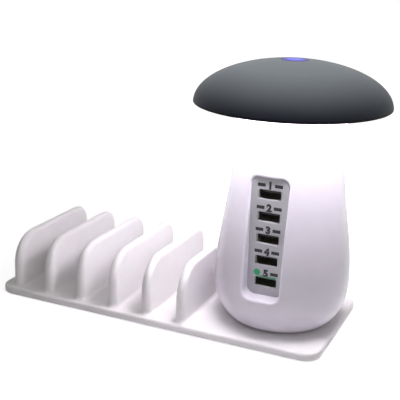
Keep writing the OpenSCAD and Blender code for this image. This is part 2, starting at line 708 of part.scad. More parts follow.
// Glass fuse held by two clips
module fuse() color("lightyellow") on_mains(fuse_l / 2 + part_edge - mains_w / 2, fuse_back) {
    translate([-fuse_l / 2, 0, fuse_clip / 2]) rotate([0, 90, 0]) cylinder(r = fuse_r, h = fuse_l);
    for (x = [-1, 1]) translate([x * (fuse_l - fuse_clip / 2) / 2, 0, fuse_clip / 2])
        cube([fuse_clip / 2, fuse_clip, fuse_clip], center = true);
}
module bridge_rectifier() color("black") on_mains(mains_w / 2 - part_edge - bridge_l / 2, bridge_back)
    translate([-bridge_l / 2, -bridge_t / 2, 0]) cube([bridge_l, bridge_t, bridge_h]);
// Can with a crimped groove near its foot and a soft upper edge
module smoothing_capacitor() color("navy") on_mains(mains_w / 2 - part_edge - can_r, -can_front)
    rotate_extrude() polygon([[0, 0], [can_r, 0], [can_r, 1], [can_r - 0.3, 1.4], [can_r, 1.8], [can_r, can_h - 0.5],
        [can_r - 0.5, can_h], [0, can_h]]);
// Ferrite core: an outer frame and a middle limb, with two windows
module transformer_core() color("dimgray") on_mains(core_mid_x, core_back) difference() {
    translate([-core_l / 2, -core_d / 2, core_lift]) cube([core_l, core_d, core_h]);
    for (x = [-1, 1]) translate([x * window_x, 0, core_mid_z])
        cube([core_window, core_d + 2, window_h], center = true);
}
// Bobbin with its winding through the core's windows, on two pin blocks
module transformer_bobbin() color("gold") on_mains(core_mid_x, core_back) difference() {
    bobbin_w = core_limb + 2 * core_window - 0.4;
    union() {
        translate([0, 0, core_mid_z]) cube([bobbin_w, bobbin_d - 1, window_h - 0.4], center = true);
        for (y = [0, 180]) rotate([0, 0, y]) translate([-bobbin_w / 2, bobbin_d / 2 - bobbin_block, 0])
            cube([bobbin_w, bobbin_block, window_z0 + 0.4]);
    }
    translate([0, 0, core_mid_z]) cube([core_limb + 0.2, core_d + 0.2, window_h + 2], center = true);
}
// Upright sheet with five fins on its upper part
module heat_sink() color("lightgray")
    on_mains(core_mid_x, core_back - bobbin_d / 2 - sink_gap - fin_d - sink_t / 2) {
    translate([-sink_l / 2, -sink_t / 2, 0]) cube([sink_l, sink_t, sink_h]);
    for (k = [-2:2]) translate([k * (sink_l - sink_t) / 4 - sink_t / 4, 0, sink_h * 0.4])
        cube([sink_t / 2, sink_t / 2 + fin_d, sink_h * 0.6]);
}
// Wound ring lying on a base
module choke() color("peru") on_mains(mains_w / 2 - part_edge - choke_out_r, -choke_front) {
    translate([0, 0, choke_wire_r + 0.7]) rotate_extrude() translate([choke_r, 0]) circle(r = choke_wire_r);
    translate([0, 0, 0.6]) cube([2 * choke_out_r - 1.6, 2 * choke_out_r - 2.4, 1.2], center = true);
}
module output_capacitors() color("black") for (k = [0, 1])
    on_mains(small_can_r + part_edge - mains_w / 2, -small_can_front - k * small_can_pitch)
        cylinder(r = small_can_r, h = small_can_h);

// Light and cap

// Frame on the neck: a spigot inside the neck, a disc above the ring board, holes for the screws
module lamp_frame() color("white") at_rim() difference() {
    union() {
        translate([0, 0, collar_h]) cylinder(r = frame_r, h = frame_t);
        translate([0, 0, collar_h - spigot_h]) cylinder(r = cavity_r - cap_fit, h = spigot_h + bite);
    }
    translate([0, 0, collar_h - spigot_h - 1]) cylinder(r = frame_hole_r, h = spigot_h + frame_t + 2);
    around(neck_post_angles, neck_post_pcd_r) {
        translate([0, 0, collar_h - spigot_h - 1]) cylinder(r = hole_r, h = spigot_h + frame_t + 2);
        translate([0, 0, collar_h - spigot_h + spigot_seat])
            cylinder(r = screw_head_r + 2 * screw_fit, h = spigot_h + frame_t);
    }
    for (y = [-1, 1]) translate([ring_lead_x, y * ring_lead_pitch / 2, collar_h - 1])
        cylinder(r = ring_lead_r + 0.4, h = frame_t + 2);
}
module ring_board() color("ivory") at_rim() translate([0, 0, collar_h - board_t]) difference() {
    cylinder(r = ring_mid_r + ring_board_w / 2, h = board_t);
    translate([0, 0, -1]) cylinder(r = ring_mid_r - ring_board_w / 2, h = board_t + 2);
}
module light_chips() color("lightyellow") at_rim() for (k = [0:chip_count - 1])
    rotate([0, 0, 360 * (k + 0.5) / chip_count])
        translate([ring_mid_r - chip_w / 2, -chip_l / 2, collar_h - board_t - chip_h])
            cube([chip_w, chip_l, chip_h]);
// Opal ring that closes the underside of the cap round the neck
module diffuser() color("white", 0.9) at_rim() translate([0, 0, diffuser_lift]) difference() {
    cylinder(r = cap_r - cap_wall / 2 - cap_fit, h = diffuser_t);
    translate([0, 0, -1]) cylinder(r = neck_r + cap_fit, h = diffuser_t + 2);
}
// Dome with a rebate for the diffuser, a ledge on the lamp frame and a ring that holds the lens
module cap_shell() color("slategray") at_rim() difference() {
    union() {
        difference() {
            rotate_extrude() polygon(concat([[0, 0]], dome_outline(0)));
            translate([0, 0, -0.01]) rotate_extrude() polygon(concat([[0, -0.5], [cap_r - cap_wall, -0.5]],
                dome_outline(cap_wall)));
        }
        intersection() {
            rotate_extrude() polygon(concat([[0, 0]], dome_outline(0.5)));
            translate([0, 0, collar_h + frame_t]) difference() {
                cylinder(r = cap_r, h = ledge_t);
                translate([0, 0, -1]) cylinder(r = frame_r - ledge_w, h = ledge_t + 2);
            }
        }
        intersection() {
            rotate_extrude() polygon(concat([[0, 0]], dome_outline(0.5)));
            translate([0, 0, cap_h - cap_wall - 3.4]) difference() {
                cylinder(r = lens_r + lens_flange + cap_fit + 1.6, h = 4.4);
                translate([0, 0, -1]) cylinder(r = lens_r + lens_flange + cap_fit, h = 4.4);
            }
        }
    }
    translate([0, 0, -1]) cylinder(r = cap_r - cap_wall / 2, h = diffuser_lift + diffuser_t + 1);
    cylinder(r = lens_r + cap_fit, h = cap_h + 1);
}
// Lens with its flange under the cap and a light guide down to the lamp on the control board
module touch_lens() color("mediumslateblue") at_rim() rotate_extrude() {
    seat_z = dome_z(lens_r + lens_flange, cap_wall) - 0.05;
    tip = frame_t + collar_h + board_t + 2;
    polygon(concat(
        [[0, tip], [guide_r, tip], [guide_r, seat_z - 1.2], [lens_r + lens_flange, seat_z - 1.2],
            [lens_r + lens_flange, seat_z], [lens_r, seat_z]],
        [for (k = [4:-1:0]) [lens_r * k / 4, dome_z(lens_r * k / 4, 0)]]));
}
module control_board() color("seagreen") at_rim() translate([0, 0, collar_h + frame_t])
    cylinder(r = control_r, h = board_t);
module touch_light() color("royalblue") at_rim() translate([0, 0, collar_h + frame_t + board_t + 0.9])
    cube([3.2, 3.2, 1.8], center = true);
// Coil spring that joins the control board to the lens's flange
module touch_spring() color("silver") at_rim() {
    z0 = collar_h + frame_t + board_t + spring_wire_r;
    z1 = dome_z(lens_r + lens_flange, cap_wall) - 0.05 - 1.2 - spring_wire_r;
    last = spring_turns * spring_steps;
    rings = [for (k = [0:last]) let (a = 360 * k / spring_steps, z = z0 + (z1 - z0) * k / last)
        [for (s = [0:spring_sides - 1])
            let (b = 360 * s / spring_sides, r = spring_r + spring_wire_r * cos(b))
            [r * cos(a), r * sin(a), z + spring_wire_r * sin(b)]]];
    polyhedron(
        points = [for (ring = rings) each ring],
        faces = concat(
            [for (k = [0:last - 1], s = [0:spring_sides - 1])
                let (t = (s + 1) % spring_sides, here = k * spring_sides, above = (k + 1) * spring_sides)
                [here + s, here + t, above + t, above + s]],
            [[for (s = [spring_sides - 1:-1:0]) s]],
            [[for (s = [0:spring_sides - 1]) last * spring_sides + s]]));
}
// Two leads up the middle of the tower, from the mains board to the control board
module lamp_leads() color("crimson") at_tower() for (x = [-1, 1])
    translate([x * lamp_lead_pitch / 2, lamp_lead_back, mains_z])
        cylinder(r = lamp_lead_r, h = tower_h + collar_h + frame_t - mains_z);
// Two leads along the lamp frame, from the control board to the ring board
module ring_leads() color("black") at_rim() for (y = [-1, 1]) translate([0, y * ring_lead_pitch / 2, 0]) {
    bend_x = ring_lead_x - ring_lead_bend;
    bend_z = collar_h + frame_t + ring_lead_r - ring_lead_bend;
    translate([control_r, 0, bend_z + ring_lead_bend]) rotate([0, 90, 0])
        cylinder(r = ring_lead_r, h = bend_x - control_r);
    translate([bend_x, 0, bend_z]) rotate([90, 0, 0]) rotate_extrude(angle = 90)
        translate([ring_lead_bend, 0]) circle(r = ring_lead_r);
    translate([ring_lead_x, 0, collar_h]) cylinder(r = ring_lead_r, h = bend_z - collar_h);
}

// Fasteners

module rack_screws() color("gray") at_tower() around(rack_screw_angles, rack_screw_pcd_r)
    translate([0, 0, -rack_t + screw_head_h + 0.2]) screw(rack_t + rack_screw_grip);
module cover_screws() color("gray") at_tower() around(post_angles, post_pcd_r)
    translate([0, 0, screw_head_h]) screw(cover_screw_l);
module mains_screws() color("gray") at_tower() around(post_angles, post_pcd_r)
    translate([0, 0, mains_z]) screw_down(mains_screw_l);
module frame_screws() color("gray") at_rim() around(neck_post_angles, neck_post_pcd_r)
    translate([0, 0, collar_h - spigot_h + spigot_seat]) screw_down(frame_screw_l);

rack();
foot(1);  // foot_1
foot(2);  // foot_2
foot(3);  // foot_3
foot(4);  // foot_4
body_shell();
base_cover();
port_panel();
usb_shell(1);  // usb_shell_1
usb_shell(2);  // usb_shell_2
usb_shell(3);  // usb_shell_3
usb_shell(4);  // usb_shell_4
usb_shell(5);  // usb_shell_5
usb_tongue(1);  // usb_tongue_1
usb_tongue(2);  // usb_tongue_2
usb_tongue(3);  // usb_tongue_3
usb_tongue(4);  // usb_tongue_4
usb_tongue(5);  // usb_tongue_5
usb_contacts(1);  // usb_contacts_1
usb_contacts(2);  // usb_contacts_2
usb_contacts(3);  // usb_contacts_3
usb_contacts(4);  // usb_contacts_4
usb_contacts(5);  // usb_contacts_5
socket_board();
board_header();
mains_board();
ac_inlet();
inlet_pins();
fuse();
bridge_rectifier();
smoothing_capacitor();
transformer_core();
transformer_bobbin();
heat_sink();
choke();
output_capacitors();
lamp_frame();
ring_board();
light_chips();
diffuser();
cap_shell();
touch_lens();
control_board();
touch_spring();
touch_light();
lamp_leads();
ring_leads();
rack_screws();
cover_screws();
mains_screws();
socket_screws();
frame_screws();
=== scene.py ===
# %% [markdown]
# # A desktop charging station with a lamp
#
# The object is a white plate with six upright dividers for phones and tablets. A turned white
# tower stands on its right end, with five sockets in a recessed bay, and a dark domed cap with
# a light ring under it. The engineering model is already built and is loaded as a fixed frame.
# This lesson gives the visible pieces their finished surfaces, and lights and frames them.
#
# We first load the frame and read the boxes of its nodes. Nothing that we add may change its
# size.

# %% Load the frame
import json
import math
import bmesh
import bpy
import numpy as np
from mathutils import Matrix, Vector

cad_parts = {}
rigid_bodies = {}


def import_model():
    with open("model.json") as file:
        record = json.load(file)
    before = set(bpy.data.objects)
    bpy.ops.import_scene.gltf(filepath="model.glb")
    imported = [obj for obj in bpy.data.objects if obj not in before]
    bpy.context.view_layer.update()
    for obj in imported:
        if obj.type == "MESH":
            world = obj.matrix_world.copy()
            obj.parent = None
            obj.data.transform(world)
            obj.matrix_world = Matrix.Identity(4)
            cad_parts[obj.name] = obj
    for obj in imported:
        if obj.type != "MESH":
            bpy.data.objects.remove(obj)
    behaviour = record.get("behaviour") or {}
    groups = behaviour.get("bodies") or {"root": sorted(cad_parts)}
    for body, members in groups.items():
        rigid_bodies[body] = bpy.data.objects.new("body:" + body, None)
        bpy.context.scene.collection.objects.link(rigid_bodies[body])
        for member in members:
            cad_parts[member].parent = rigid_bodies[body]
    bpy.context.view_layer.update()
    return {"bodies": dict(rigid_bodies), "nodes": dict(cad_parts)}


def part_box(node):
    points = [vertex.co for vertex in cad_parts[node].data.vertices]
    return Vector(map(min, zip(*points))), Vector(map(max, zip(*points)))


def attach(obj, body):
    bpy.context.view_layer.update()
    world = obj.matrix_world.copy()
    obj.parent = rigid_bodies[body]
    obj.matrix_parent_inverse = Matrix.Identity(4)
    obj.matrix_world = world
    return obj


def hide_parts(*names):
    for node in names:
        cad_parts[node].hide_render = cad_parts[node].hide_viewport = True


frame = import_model()
nodes = frame["nodes"]

# %% [markdown]
# ## Driving sizes
#
# All sizes are in millimetres, as on the drawing, and turn into metres only when a mesh is made.
# What the frame can tell us, such as where the tower stands, is read from the boxes of its
# nodes. The radii and depths that a box can't give are the drawing's own sizes, and each one is
# named in the step that first needs it.

# %% Sizes
MM = 0.001


def node_box(name):
    """Lowest and highest corner of one frame node, in millimetres."""
    low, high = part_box(name)
    return np.array(low) / MM, np.array(high) / MM


tower_low, tower_high = node_box("body_shell")
cap_low, cap_high = node_box("cap_shell")
rack_low, rack_high = node_box("rack")
TOWER_X = (cap_low[0] + cap_high[0]) / 2
DECK_Z = tower_low[2]
PLATE_Z = rack_low[2]
RIM_Z = cap_low[2]
CAP_R = (cap_high[0] - cap_low[0]) / 2
DOME_TOP_Z = node_box("touch_lens")[1][2]
TOWER_TOP_Z = tower_high[2]
print("tower axis at x =", round(TOWER_X, 2), "deck", round(DECK_Z, 2), "rim", round(RIM_Z, 2))

# %% [markdown]
# ## The camera
#
# The photograph was taken from a little above and to the right of the tower. The camera's place
# was worked out from the edges of the plate, the rim of the cap and the row of sockets: about
# half a metre away, turned 24 degrees, looking 17 degrees down, and tipped a little to one side.

# %% Camera
SENSOR_MM = 36.0
FOCAL_PX = 819.95
IMAGE_PX = 400
YAW = math.radians(23.94)
PITCH = math.radians(17.33)
ROLL = math.radians(1.65)
CAMERA_FROM_TOWER = np.array([139.51, -438.30, 217.22])
NEAR_CLIP = 0.01


def put(name, data):
    """New object that holds this data, linked into the scene."""
    made = bpy.data.objects.new(name, data)
    bpy.context.scene.collection.objects.link(made)
    return made


def seen_from(azimuth, elevation):
    """Unit vector towards a viewer: azimuth 0 is in front, and a quarter turn is on the right."""
    level = math.cos(elevation)
    return Vector((math.sin(azimuth) * level, -math.cos(azimuth) * level, math.sin(elevation)))


def make_camera():
    """Camera whose axes are worked out from yaw, pitch and roll, placed from the tower's foot."""
    ahead = -seen_from(YAW, PITCH)
    level = Vector((math.cos(YAW), math.sin(YAW), 0.0))
    up = level.cross(ahead)
    right = level * math.cos(ROLL) + up * math.sin(ROLL)
    top = -level * math.sin(ROLL) + up * math.cos(ROLL)
    data = bpy.data.cameras.new("camera")
    data.sensor_width = SENSOR_MM
    data.lens = FOCAL_PX * SENSOR_MM / IMAGE_PX
    data.clip_start = NEAR_CLIP
    camera = put("camera", data)
    place = Matrix((right, top, -ahead)).transposed().to_4x4()
    place.translation = Vector((CAMERA_FROM_TOWER + np.array([TOWER_X, 0.0, PLATE_Z])) * MM)
    camera.matrix_world = place
    return camera


bpy.context.scene.camera = make_camera()
print("lens in mm:", round(bpy.context.scene.camera.data.lens, 1))

# %% [markdown]
# ## From grids of points to a mesh
#
# Every new piece is a set of grids. A grid is an array of points with rows and columns, and each
# little square between four points becomes a face. Where two grids share an edge their points
# fall together, so they are merged and the piece becomes one closed skin. Faces are smooth,
# and an edge that bends more than a chosen angle stays crisp.

# %% Mesh helpers
MERGE_M = 2e-6
SLIVER_M = 1e-7


def grid_faces(rows, columns, first, loop, keep):
    """Corner numbers of the squares of a grid whose points are numbered row by row."""
    across = columns if loop else columns - 1
    r, c = np.meshgrid(np.arange(rows - 1), np.arange(across), indexing="ij")
    following = (c + 1) % columns
    squares = np.stack([r * columns + c, r * columns + following,
                        (r + 1) * columns + following, (r + 1) * columns + c], axis=-1)
    if keep is not None:
        squares = squares[keep]
    return squares.reshape(-1, 4) + first


def make_piece(name, grids, crisp=40.0):
    """One mesh from grids of points in mm.

    Each grid is a pair: points as rows by columns by 3, and whether the columns close round. A
    third value, where there is one, is a mask that says which squares are kept.
    """
    points, faces, count = [], [], 0
    for grid, loop, *keep in grids:
        rows, columns = grid.shape[:2]
        points.append(grid.reshape(-1, 3))
        faces.append(grid_faces(rows, columns, count, loop, keep[0] if keep else None))
        count += rows * columns
    mesh = bpy.data.meshes.new(name)
    mesh.from_pydata((np.concatenate(points) * MM).tolist(), [], np.concatenate(faces).tolist())
    shape = bmesh.new()
    shape.from_mesh(mesh)
    bmesh.ops.remove_doubles(shape, verts=shape.verts, dist=MERGE_M)
    bmesh.ops.dissolve_degenerate(shape, edges=shape.edges, dist=SLIVER_M)
    loose = [vert for vert in shape.verts if not vert.link_faces]
    bmesh.ops.delete(shape, geom=loose, context="VERTS")
    bmesh.ops.recalc_face_normals(shape, faces=shape.faces)
    open_edges = sum(1 for edge in shape.edges if len(edge.link_faces) != 2)
    shape.to_mesh(mesh)
    shape.free()
    mesh.shade_smooth()
    mesh.set_sharp_from_angle(angle=math.radians(crisp))
    piece = put(name, mesh)
    print(f"{name}: {len(mesh.polygons)} faces, {open_edges} open edges")
    return piece


print("squares in a grid of 3 by 4 points:", len(grid_faces(3, 4, 0, False, None)))


# %% Rows, rounds and heights
def between(inner, outer, rows):
    """Grid of rows between two loops with as many points: each point moves in a straight line."""
    t = np.linspace(0.0, 1.0, rows + 1).reshape(-1, *[1] * inner.ndim)
    return inner[None] * (1 - t) + outer[None] * t


def quarter(steps):
    """Sines and versines along a quarter turn, for round edges."""
    a = np.linspace(0.0, math.pi / 2, steps + 1)
    return np.sin(a), 1 - np.cos(a)


def raised(loop, z):
    """Flat loop of (x, y) points as 3-D points at one height."""
    return np.concatenate([loop, np.full((len(loop), 1), float(z))], 1)


print("rise of a quarter turn in 3 steps:", quarter(3)[0].round(2))

# %% [markdown]
# ## Rounded rectangles
#
# Windows, socket mouths and the plate are all rounded rectangles. The loop starts in the middle
# of the lower left corner's arc, and each of its four sides ends in the middle of the next arc.
# So two loops with the same number of steps a side match point for point, and a ring of faces
# fits between them whatever their sizes.

# %% Rounded loop
def rounded_loop(x0, x1, y0, y1, radii, across, upright, arc):
    """Points and outward normals round a rectangle, anticlockwise from its lower left corner.

    A side has so many steps across or upright. Of these, arc steps lie on each half corner that
    it touches, at equal angles, and the rest divide its straight part evenly. A corner whose
    radius is zero takes none. radii are lower left, lower right, upper right, upper left.
    """
    centres = [(x0 + radii[0], y0 + radii[0]), (x1 - radii[1], y0 + radii[1]),
               (x1 - radii[2], y1 - radii[2]), (x0 + radii[3], y1 - radii[3])]
    points, normals = [], []
    for k in range(4):
        n = (k + 1) % 4
        side_angle = math.radians(270 + 90 * k)
        side_normal = np.array([math.cos(side_angle), math.sin(side_angle)])
        first_arc, last_arc = (arc if radii[k] > 0 else 0), (arc if radii[n] > 0 else 0)
        straight = (across if k % 2 == 0 else upright) - first_arc - last_arc
        leave = side_angle - math.pi / 4 * (1 - np.arange(first_arc) / max(first_arc, 1))
        arrive = side_angle + math.pi / 4 * np.arange(last_arc) / max(last_arc, 1)
        for angles, corner in ((leave, k), (None, k), (arrive, n)):
            if angles is None:
                start = np.array(centres[k]) + radii[k] * side_normal
                stop = np.array(centres[n]) + radii[n] * side_normal
                points.append(between(start, stop, straight)[:-1])
                normals.append(np.tile(side_normal, (straight, 1)))
            else:
                out = np.stack([np.cos(angles), np.sin(angles)], 1)
                points.append(np.array(centres[corner]) + radii[corner] * out)
                normals.append(out)
    return np.concatenate(points), np.concatenate(normals)


small_loop, _ = rounded_loop(0, 2, 0, 1, [0.2] * 4, 4, 4, 1)
print("points round a loop of 4 steps a side:", len(small_loop))

# %% [markdown]
# ## The tower
#
# The real shell is one moulding, shaped like something turned on a lathe: its radius follows a
# quarter ellipse from the foot out to the belly, then half a cosine wave in to the neck. A grid
# of height by angle gives that surface directly. The window of the port bay and the opening for
# the mains inlet are harder. A Boolean would cut them, but it leaves long thin faces that shade
# badly on a glossy skin. So a block of squares is left out of the grid and filled with rings
# that run from the block's edge to the opening's rounded outline, and the faces flow round its
# corners. From there a small rounded lip turns inwards and the bay's walls run straight back.

# %% Tower radius and rows
FOOT_R = 26.0
BELLY_R = 39.9
BELLY_Z = 25.7
NECK_R = 32.0
NECK_Z = 100.7
TOWER_COLUMNS = 192
BELLY_ROWS = 28
UPPER_ROWS = 104


def tower_radius(z):
    """Radius at a height above the deck: quarter ellipse, half cosine wave, then straight."""
    foot = FOOT_R + (BELLY_R - FOOT_R) * np.sqrt(np.clip(1 - (1 - z / BELLY_Z) ** 2, 0, 1))
    turn = np.pi * (z - BELLY_Z) / (NECK_Z - BELLY_Z)
    wave = NECK_R + (BELLY_R - NECK_R) * (1 + np.cos(turn)) / 2
    return np.where(z < BELLY_Z, foot, np.where(z < NECK_Z, wave, NECK_R))


tower_rows = np.concatenate([
    BELLY_Z * (1 - np.cos(np.linspace(0, np.pi / 2, BELLY_ROWS + 1)))[:-1],
    np.linspace(BELLY_Z, TOWER_TOP_Z - DECK_Z, UPPER_ROWS)])
print("tower grid:", len(tower_rows), "rows of", TOWER_COLUMNS)


# %% Tower skins
def on_tower(x, z, side, inset):
    """Points over x and z: y = side sqrt(r r - x x), where side is -1 in front and 1 behind."""
    r = tower_radius(z) - inset
    y = side * np.sqrt(np.maximum(r ** 2 - x ** 2, 0.0))
    return np.stack([x + TOWER_X, y, z + DECK_Z], axis=-1)


def tower_grid(heights, inset):
    """Grid of heights by angles, measured round from the front: x = r sin, y = -r cos."""
    a = np.arange(TOWER_COLUMNS)[None, :] * 2 * np.pi / TOWER_COLUMNS
    r = (tower_radius(heights) - inset)[:, None]
    z = heights[:, None] + DECK_Z + 0 * a
    return np.stack([TOWER_X + r * np.sin(a), -r * np.cos(a), z], axis=-1)


print("width of the tower at its belly:", np.ptp(tower_grid(tower_rows, 0.0)[..., 0]).round(1))

# %% Openings in the tower
BAY_HALF_W = 10.9
BAY_Z0 = 21.7
BAY_Z1 = 93.9
BAY_R = 4.6
LIP_R = 1.4
INLET_HALF_W = 10.2
INLET_HALF_H = 6.4
INLET_R = 2.2
INLET_MID_Z = 22.2
RING_ROWS = 8


class Opening:
    """Opening in the tower: its outline, and the block of the grid's squares that it replaces."""

    def __init__(self, side, half_w, z0, z1, corner, columns, margin, arc):
        self.side, self.half_w, self.z0, self.z1, self.corner = side, half_w, z0, z1, corner
        self.columns, self.arc = columns, arc
        self.low = int(np.searchsorted(tower_rows, z0 - margin))
        self.high = int(np.searchsorted(tower_rows, z1 + margin))

    def outline(self, grow):
        """Loop round the opening, grown by a margin, and its outward normals."""
        half_w, r = self.half_w + grow, self.corner + grow
        return rounded_loop(-half_w, half_w, self.z0 - grow, self.z1 + grow, [r] * 4,
                            2 * self.columns, self.high - self.low, self.arc)

    def squares(self):
        """Rows and columns of the grid's squares that the opening replaces."""
        middle = 0 if self.side < 0 else TOWER_COLUMNS // 2
        columns = (middle + np.arange(-self.columns, self.columns)) % TOWER_COLUMNS
        return np.ix_(np.arange(self.low, self.high), columns)

    def rings(self, inset, loop):
        """Grid of rings on the tower's skin from the opening's loop out to the block's edge."""
        a = np.arange(-self.columns, self.columns + 1) * 2 * np.pi / TOWER_COLUMNS
        heights = tower_rows[self.low:self.high + 1]
        r = tower_radius(heights) - inset
        low = np.stack([np.sin(a) * r[0], np.full(len(a), heights[0])], 1)
        high = np.stack([np.sin(a) * r[-1], np.full(len(a), heights[-1])], 1)
        beside = np.stack([np.sin(a[-1]) * r, heights], 1)
        edge = np.concatenate([low[:-1], beside[:-1], high[:0:-1], (beside * [-1, 1])[:0:-1]])
        flow = between(loop, edge, RING_ROWS)
        return on_tower(flow[..., 0], flow[..., 1], self.side, inset), True


# At its two ends the bay's lip curls in within the drawn opening, and at its sides outside it
bay = Opening(-1, BAY_HALF_W, BAY_Z0 + LIP_R, BAY_Z1 - LIP_R, BAY_R,
              columns=15, margin=4.0, arc=6)
inlet_hole = Opening(1, INLET_HALF_W, INLET_MID_Z - INLET_HALF_H, INLET_MID_Z + INLET_HALF_H,
                     INLET_R, columns=13, margin=3.0, arc=4)
print("rows of the grid that the bay replaces:", bay.low, "to", bay.high)

# %% Slotted plate
PORT_COUNT = 5
PORT_Z0 = 31.2
PORT_PITCH = 12.9
PORT_HEIGHTS = PORT_Z0 + PORT_PITCH * np.arange(PORT_COUNT)
MOUTH_ACROSS = 28
MOUTH_UPRIGHT = 18
MOUTH_ARC = 4
PLATE_ARC = 6
BEVEL_STEPS = 4
FLAT_ROWS = 3


def faced(loop, y):
    """Flat loop of (x, z) points, counted from the tower's axis and deck, stood up at a depth."""
    return np.stack([loop[:, 0] + TOWER_X, np.full(len(loop), y), loop[:, 1] + DECK_Z], 1)


def slotted_plate(half_w, z0, z1, corner, mouth, front, back, bevel):
    """Grids of a plate that faces the front, with one rounded mouth for each socket.

    A mouth is given as its width, height and corner radius. The plate is a stack of cells, one
    round each mouth. A cell's rings run from its edge to the mouth's bevel, round the bevel,
    straight back, and out again behind. Only the outer sides of the stack are closed.
    """
    width, height, mouth_r = mouth
    cuts = np.concatenate([[z0], (PORT_HEIGHTS[1:] + PORT_HEIGHTS[:-1]) / 2, [z1]])
    n, m = MOUTH_ACROSS, MOUTH_UPRIGHT
    sine, versine = quarter(BEVEL_STEPS)
    grids = []
    for k, middle in enumerate(PORT_HEIGHTS):
        lowest, highest = k == 0, k == PORT_COUNT - 1
        low_r, high_r = (corner if lowest else 0.0), (corner if highest else 0.0)
        cell, _ = rounded_loop(-half_w, half_w, cuts[k], cuts[k + 1],
                               [low_r, low_r, high_r, high_r], n, m, PLATE_ARC)
        hole, out = rounded_loop(-width / 2, width / 2, middle - height / 2, middle + height / 2,
                                 [mouth_r] * 4, n, m, MOUTH_ARC)
        rows = [faced(ring, front) for ring in between(cell, hole + out * bevel, FLAT_ROWS)]
        rows += [faced(hole + out * bevel * (1 - s), front + bevel * v)
                 for s, v in zip(sine[1:], versine[1:])]
        rows += [faced(ring, back) for ring in between(hole, cell, FLAT_ROWS)]
        grids.append((np.stack(rows), True))
        side = np.stack([faced(cell, front), faced(cell, back)])
        for start, steps, outer in ((0, n, lowest), (n, m, True), (n + m, n, highest),
                                    (2 * n + m, m, True)):
            if outer:
                grids.append((side[:, np.arange(start, start + steps + 1) % len(cell)], False))
    return grids


print("heights of the sockets above the deck:", PORT_HEIGHTS.round(1))

# %% Tower piece
TOWER_WALL = 2.2
BAY_WALL = 1.5
PANEL_Y = -30.0
PANEL_T = 1.0
FLOOR_T = 1.8
FLOOR_MOUTH = (13.5, 6.1, 0.6)
FLOOR_BEVEL = 0.1
FLOOR_GAP = 0.05
LET_IN = 0.3
ROUND_STEPS = 6
WALL_ROWS = 5


def make_tower():
    """Closed shell: both skins, the bay's lip, walls and floor, and a ring at each end."""
    sine, versine = quarter(ROUND_STEPS)
    outline, out = bay.outline(0.0)
    lip = []
    for s, v in zip(sine, versine):
        ring = outline + out * LIP_R * (1 - s)
        points = on_tower(ring[:, 0], ring[:, 1], -1, 0.0)
        points[:, 1] += LIP_R * v
        lip.append(points)
    floor_y = PANEL_Y + PANEL_T + FLOOR_T
    behind = lip[-1] * [1, 0, 1] + [0, floor_y, 0]
    outside, _ = bay.outline(BAY_WALL)
    sleeve = on_tower(outside[:, 0], outside[:, 1], -1, TOWER_WALL)
    tube = sleeve * [1, 0, 1] + [0, floor_y, 0]
    walls = np.concatenate([np.stack(lip), between(lip[-1], behind, WALL_ROWS)[1:],
                            [tube, sleeve]])
    hole, _ = inlet_hole.outline(0.0)
    cut = np.stack([on_tower(hole[:, 0], hole[:, 1], 1, inset) for inset in (0.0, TOWER_WALL)])
    keep = np.ones((len(tower_rows) - 1, TOWER_COLUMNS), bool)
    keep[bay.squares()] = False
    keep[inlet_hole.squares()] = False
    skins = [tower_grid(tower_rows, inset) for inset in (0.0, TOWER_WALL)]
    grids = [(skins[0], True, keep), (skins[1], True, keep), (walls, True), (cut, True),
             bay.rings(0.0, outline + out * LIP_R), bay.rings(TOWER_WALL, outside),
             inlet_hole.rings(0.0, hole), inlet_hole.rings(TOWER_WALL, hole)]
    grids += [(np.stack([skins[0][row], skins[1][row]]), True) for row in (0, -1)]
    grids += slotted_plate(BAY_HALF_W + LET_IN, bay.z0 - LET_IN, bay.z1 + LET_IN, BAY_R,
                           FLOOR_MOUTH, PANEL_Y + PANEL_T, floor_y - FLOOR_GAP, FLOOR_BEVEL)
    return make_piece("tower_shell", grids, crisp=50.0)


tower = make_tower()

# %% [markdown]
# ## The port panel
#
# A thin plate lies in the bay with five mouths in it. It could be a box cut by five Booleans.
# The stack of cells that made the bay's floor gives cleaner bevels, so it is used once more. A
# bevel round each mouth catches the light, as the punched and painted edge of the real one does.

# %% Port panel
MOUTH_W = 13.2
MOUTH_H = 5.2
MOUTH_R = 0.5
PANEL_GAP = 0.15
PANEL_BEVEL = 0.25

panel = make_piece("port_plate", slotted_plate(
    BAY_HALF_W - PANEL_GAP, bay.z0 + PANEL_GAP, bay.z1 - PANEL_GAP, BAY_R - PANEL_GAP,
    (MOUTH_W, MOUTH_H, MOUTH_R), PANEL_Y, PANEL_Y + PANEL_T, PANEL_BEVEL))

# %% [markdown]
# ## The cap, its lens and the feet
#
# These are turned shapes, so a profile of radius and height is carried round an axis. A Screw
# modifier would do it too, but a grid puts each ring exactly where the profile says. The dome is
# a quarter ellipse. Its lower edge is rounded and turns in to the rebate that holds the light
# ring, and the round hole at the top holds the lens. A foot is a rubber button with a soft edge.

# %% Turned grids
def turned(profile, x, y, z, steps):
    """Grid from a profile of (radius, height) pairs carried round an upright axis."""
    profile = np.asarray(profile, float)
    a = np.arange(steps) * 2 * np.pi / steps
    r, height = profile[:, :1], profile[:, 1:] + z
    return np.stack([x + r * np.cos(a), y + r * np.sin(a), height + 0 * a], axis=-1), True


def dome(radius, height, first, last, steps):
    """Profile along an ellipse between two radii: height times sqrt(1 - (r / radius) squared)."""
    a = np.linspace(math.acos(first / radius), math.acos(last / radius), steps)
    return np.stack([radius * np.cos(a), height * np.sin(a)], 1)


CAP_H = DOME_TOP_Z - RIM_Z
print("height of the dome halfway out:", dome(CAP_R, CAP_H, CAP_R / 2, 1.0, 2)[0, 1].round(1))

